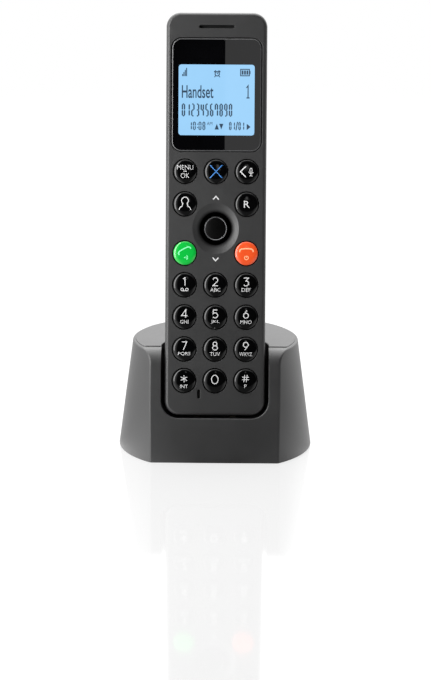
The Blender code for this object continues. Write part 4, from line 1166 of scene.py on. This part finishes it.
def front_line(z):
    """How far in front of the round outline's middle the flat front is, at a height."""
    tangent, centre_front = front_corner()
    if z <= BASE_HEIGHT - tangent * cos(LEAN):
        return BASE_FRONT - z * tan(LEAN)
    rise = min(max((z - BASE_HEIGHT + BASE_FRONT_FILLET) / BASE_FRONT_FILLET, -1.0), 1.0)
    return centre_front + BASE_FRONT_FILLET * cos(asin(rise))


def base_ring(z, inset=0.0, shape_z=None):
    """The base's outline at a height: a circle with a flat front and rounded creases.

    With shape_z it has the shape of the outline at that height instead."""
    level = min(z, BASE_HEIGHT) if shape_z is None else shape_z
    radius = BASE_RADIUS - BASE_TAPER * level
    below = BASE_HEIGHT - level
    if below < BASE_RIM_FILLET:
        radius -= BASE_RIM_FILLET - sqrt(BASE_RIM_FILLET ** 2 - (BASE_RIM_FILLET - below) ** 2)
    radius -= inset
    centre_y = inset - front_line(level) + BASE_CREASE
    centre_x = sqrt((radius - BASE_CREASE) ** 2 - centre_y ** 2)
    meet = atan2(centre_y, centre_x)
    crease = []
    for angle in spaced(-0.5 * pi, meet, 8)[:-1]:
        crease.append((centre_x + BASE_CREASE * cos(angle), centre_y + BASE_CREASE * sin(angle)))
    points = list(crease)
    for angle in spaced(meet, pi - meet, BASE_SEGMENTS):
        points.append((radius * cos(angle), radius * sin(angle)))
    points += [(-x, y) for x, y in reversed(crease)]
    return [(x, y, z) for x, y in points]


def base_form():
    """The outer form, with a small round at the foot, the front's top fillet, a soft rim and a low
    step a little way in from it."""
    rings = [base_ring(SKIRT_BOTTOM, SKIRT_ROUND),
             base_ring(SKIRT_BOTTOM + 0.3 * SKIRT_ROUND, 0.3 * SKIRT_ROUND),
             base_ring(SKIRT_BOTTOM + SKIRT_ROUND)]
    straight_top = 25 * MM
    levels = [straight_top, 40 * MM]
    for angle in spaced(LEAN, 0.5 * pi, FILLET_STEPS):
        levels.append(BASE_HEIGHT - BASE_FRONT_FILLET * (1.0 - sin(angle)))
    for angle in spaced(0.0, 0.5 * pi, 5)[1:-1]:
        levels.append(BASE_HEIGHT - BASE_RIM_FILLET * (1.0 - sin(angle)))
    for z in sorted(levels):
        drop = TOP_STEP if z > straight_top else 0.0
        rings.append(base_ring(z - drop, shape_z=z))
    for inset, drop in ((0.3, TOP_STEP), (0.36, 0.08 * MM), (0.5, 0.0)):
        rings.append(base_ring(BASE_HEIGHT - drop, inset * MM, BASE_HEIGHT))
    return solid("base_shell", BASE, rings)


# ---- pocket and openings
def pocket_body(name, grow=0.0):
    """The handset's lower end made larger by the clearance round it."""
    last = HANDSET_DEPTH + POCKET_BACK_GAP + grow
    rings = []
    for depth in [-8 * MM] + back_depths(SIDE_DEPTH, last, POCKET_STEPS):
        ring = handset_ring(max(depth, FACE_FILLET + grow), grow, POCKET_SIDE_GAP, POCKET_END_GAP,
                            POCKET_BACK_GAP, POCKET_TOP)
        rings.append([(x, depth, z) for x, _depth, z in ring])
    return solid(name, HANDSET, rings)


def mouth_ring(depth, grow):
    """The line of the pocket's mouth at a depth under the base's outer surface."""
    half = 0.5 * HANDSET_WIDTH + POCKET_SIDE_GAP + grow
    last = HANDSET_DEPTH + POCKET_BACK_GAP + grow
    radius = HANDSET_CORNER + POCKET_SIDE_GAP + grow
    low = radius - POCKET_END_GAP - grow
    front = (TO_HANDSET @ Vector((0.0, BASE_CENTRE_Y - BASE_FRONT, 0.0))).y + depth
    corners = arc_points((radius - half, low), radius, 180, 270, CORNER_STEPS)
    corners += arc_points((half - radius, low), radius, 270, 360, CORNER_STEPS)
    side = []
    _tangent, centre_front = front_corner()
    arc_radius = BASE_FRONT_FILLET - depth
    for angle in spaced(LEAN, 0.5 * pi, FILLET_STEPS):
        y = BASE_CENTRE_Y - centre_front - arc_radius * cos(angle)
        z = BASE_HEIGHT - BASE_FRONT_FILLET + arc_radius * sin(angle)
        side.append(TO_HANDSET @ Vector((0.0, y, z)))
    top = BASE_HEIGHT - depth - HANDSET.translation.z
    for y in back_depths(SIDE_DEPTH, last, POCKET_STEPS):
        side.append(Vector((0.0, y, (top + y * sin(LEAN)) / cos(LEAN))))
    right = [(back_half_width(point.y, half, last), point.y, point.z) for point in side]
    return at_depth(corners, front) + right + [(-x, y, z) for x, y, z in reversed(right)]


def mouth_lip():
    """What rounds the edge of the pocket's mouth, all along the front and the top."""
    rings = [mouth_ring(-2 * MM, POCKET_LIP)]
    for angle in spaced(0.0, 0.5 * pi, 5):
        rings.append(mouth_ring(POCKET_LIP * (1.0 - cos(angle)), POCKET_LIP * (1.0 - sin(angle))))
    rings.append(mouth_ring(POCKET_LIP + 0.3 * MM, -0.03 * MM))
    bm = bmesh.new()
    loops = skin(bm, rings)
    # The form ends in one point in front of the base and another inside the pocket
    fan(bm, bm.verts.new((0.0, -30 * MM, 70 * MM)), loops[0])
    fan(bm, bm.verts.new((0.0, 9 * MM, 14 * MM)), loops[-1])
    return object_from("mouth_lip", bm, HANDSET)


def base_hollow():
    levels = [-2 * MM, 25 * MM, 38 * MM, BASE_HEIGHT - BASE_FRONT_FILLET,
              BASE_HEIGHT - 3.5 * MM, BASE_HEIGHT - BASE_WALL]
    hollow = solid("base_hollow", BASE, [base_ring(z, BASE_WALL) for z in levels])
    return carved(hollow, ("DIFFERENCE", pocket_body("tub", POCKET_WALL)))


def rear_openings():
    """Openings round the two sockets."""
    bm = bmesh.new()
    for node in ("line_socket", "power_socket"):
        low, high = extents(node, BASE.inverted())
        margin = Vector((0.4, 0.0, 0.4)) * MM
        box_body(bm, low - margin, high + margin + Vector((0.0, 8 * MM, 0.0)))
    return object_from("rear_openings", bm, BASE)


def contact_slots():
    """Slots in the pocket's floor for the charging contacts."""
    bm = bmesh.new()
    contact_boxes(bm, -3.5 * MM, Vector((1.9, 2.0, 4.5)) * MM)
    return object_from("contact_slots", bm, HANDSET)


def page_frame():
    """Where the page button stands: its own Y axis is the rear wall's outward direction."""
    radius = BASE_RADIUS - BASE_TAPER * PAGE_HEIGHT
    tilt = Matrix.Rotation(atan2(BASE_TAPER, 1.0), 4, "X")
    return BASE @ Matrix.Translation((0.0, radius, PAGE_HEIGHT)) @ tilt


def page_hole():
    rings = []
    for grow, height in ((0.0, -4.0), (0.0, -0.35), (0.4, 0.05), (0.4, 4.0)):
        radius = PAGE_RADIUS + KEY_GAP + grow * MM
        rings.append(at_depth(ellipse(radius, radius), height * MM))
    return solid("page_hole", page_frame(), rings)


def make_base_shell():
    shell = base_form()
    tools = [base_hollow(), pocket_body("pocket"), mouth_lip(), contact_slots(), rear_openings(),
             page_hole()]
    carved(shell, *[("DIFFERENCE", tool) for tool in tools])
    dress(shell, ["shell_charcoal"], "base", "base_upper_shell", radians(25.0))


def make_page_button():
    """A round button with a dished top and a flange inside the wall."""
    # Half section as (radius, height) in millimetres
    profile = [(0.0, -3.6), (5.3, -3.6), (5.3, -2.9), (4.5, -2.9), (4.5, 0.35), (4.42, 0.6),
               (4.2, 0.8), (3.8, 0.92), (3.2, 0.95), (2.6, 0.85), (2.0, 0.75), (1.0, 0.66),
               (0.0, 0.64)]
    bm = bmesh.new()
    turned(bm, [(radius * MM, height * MM) for radius, height in profile])
    dress(object_from("page_cap", bm, page_frame()), ["key_black"],
          "page_button", "page_button")


# ---- stage
def make_camera():
    data = bpy.data.cameras.new("camera")
    data.sensor_fit = "VERTICAL"
    data.sensor_height = SENSOR_HEIGHT
    data.lens = SENSOR_HEIGHT * FOCAL_PIXELS / IMAGE_HEIGHT
    camera = bpy.data.objects.new("camera", data)
    turn = Matrix.Rotation(CAMERA_AZIMUTH, 4, "Z") @ Matrix.Rotation(0.5 * pi - CAMERA_PITCH, 4, "X")
    camera.matrix_world = (Matrix.Translation(CAMERA_TARGET) @ turn
                           @ Matrix.Translation((0.0, 0.0, CAMERA_DISTANCE))
                           @ Matrix.Rotation(CAMERA_ROLL, 4, "Z"))
    SCENE.collection.objects.link(camera)
    SCENE.camera = camera


def stage_sheet(name, corners, material):
    """A four-cornered sheet of the studio, which is not part of the object."""
    mesh = bpy.data.meshes.new(name)
    mesh.from_pydata(corners, [], [(0, 1, 2, 3)])
    mesh.materials.append(MATERIALS[material])
    made = bpy.data.objects.new(name, mesh)
    SCENE.collection.objects.link(made)
    return made


def studio_light(tree, heading, lobes):
    """The light that comes from a heading: the sum of the lobes."""
    total = None
    for direction, stops in lobes:
        aim = Vector(direction).normalized()
        towards = add_node(tree, "VectorMath", {0: heading, 1: aim}, "Value", "DOT_PRODUCT")
        share = add_node(tree, "MapRange", {"Value": towards, "From Min": -1.0})
        light = add_ramp(tree, share, [(position, (level,) * 3) for position, level in stops])
        total = add_node(tree, "VectorMath", {0: total, 1: light}) if total else light
    return total


def show(tree, output, to_object, to_camera):
    """Use one shader for what the camera sees straight on, and another for all other light."""
    seen = add_node(tree, "LightPath", {}, "Is Camera Ray")
    mix = add_node(tree, "MixShader", {0: seen, 1: to_object, 2: to_camera})
    tree.links.new(mix, tree.nodes[output].inputs["Surface"])


def make_floor():
    """A white floor with a faint reflection.

    What the object's own surfaces see of it is bright all round but dark in front, as the room is.
    """
    tree = new_material("floor_white")
    tree.nodes.remove(tree.nodes["Principled BSDF"])
    place = add_node(tree, "TexCoord", {}, "Object")
    heading = add_node(tree, "VectorMath", {0: place}, "Vector", "NORMALIZE")
    away = add_node(tree, "VectorMath", {0: place}, "Value", "LENGTH")
    around = add_node(tree, "Emission", {"Color": studio_light(tree, heading, FLOOR_LIGHTS)})
    glow = add_node(tree, "Emission", {"Strength": FLOOR_GLOW})
    gloss = add_node(tree, "BsdfAnisotropic", {"Color": (0.17, 0.17, 0.17, 1.0), "Roughness": 0.06})
    soft = add_node(tree, "BsdfDiffuse", {"Color": (0.04, 0.04, 0.04, 1.0)})
    near = add_node(tree, "AddShader", {0: add_node(tree, "AddShader", {0: glow, 1: gloss}), 1: soft})
    far = add_node(tree, "Emission", {})
    fade = add_fade(tree, away, *FLOOR_FADE)
    show(tree, "Material Output", around, add_node(tree, "MixShader", {0: fade, 1: near, 2: far}))
    corners = [(x * FLOOR_REACH, y * FLOOR_REACH, 0.0) for x, y in ((-1, -1), (1, -1), (1, 1), (-1, 1))]
    stage_sheet("floor", corners, "floor_white")


def make_reflection_card():
    """A white card in front of the phone that shows in the right side of the glossy window."""
    tree = new_material("card_white")
    tree.nodes.remove(tree.nodes["Principled BSDF"])
    glow = add_node(tree, "Emission", {"Strength": CARD_GLOW})
    tree.links.new(glow, tree.nodes["Material Output"].inputs["Surface"])
    normal = HANDSET.to_3x3() @ Vector((0.0, -1.0, 0.0))
    right = WINDOW_HIGH.x + CARD_MARGIN
    below, above = WINDOW_LOW.z - 0.5 * CARD_MARGIN, WINDOW_HIGH.z + CARD_MARGIN
    corners = []
    for across, along in ((CARD_LEFT, below), (right, below), (right, above), (CARD_LEFT, above)):
        point = HANDSET @ Vector((across, 0.0, along))
        ray = (point - SCENE.camera.location).normalized()
        bounced = ray - 2.0 * ray.dot(normal) * normal
        corners.append(point + bounced * ((CARD_Y - point.y) / bounced.y))
    card = stage_sheet("card", corners, "card_white")
    card.visible_camera = False
    card.visible_diffuse = False


def make_world():
    """White to the camera; to the object, a studio that is bright all round but dark in front."""
    world = bpy.data.worlds.new("studio")
    world.use_nodes = True
    SCENE.world = world
    tree = world.node_tree
    heading = add_node(tree, "TexCoord", {}, "Generated")
    tree.nodes.remove(tree.nodes["Background"])
    studio = add_node(tree, "Background", {"Color": studio_light(tree, heading, ROOM_LIGHTS)})
    white = add_node(tree, "Background", {"Color": (1.0, 1.0, 1.0, 1.0)})
    show(tree, "World Output", studio, white)


def make_softbox():
    data = bpy.data.lights.new("left_key", "AREA")
    data.shape = "RECTANGLE"
    data.size, data.size_y = SOFTBOX_SIZE
    data.energy = SOFTBOX_POWER
    light = bpy.data.objects.new("left_key", data)
    light.location = SOFTBOX_PLACE
    light.rotation_euler = (SOFTBOX_TARGET - SOFTBOX_PLACE).to_track_quat("-Z", "Y").to_euler()
    light.visible_camera = False
    SCENE.collection.objects.link(light)


dress_cad_nodes()
make_front_shell()
make_window()
make_screen()
for key_name in key_names():
    make_key(key_name)
make_joystick()
make_rear_shell()
make_battery_cover()
make_base_shell()
make_page_button()
make_camera()
make_floor()
make_reflection_card()
make_world()
make_softbox()
SCENE.view_settings.view_transform = "Standard"
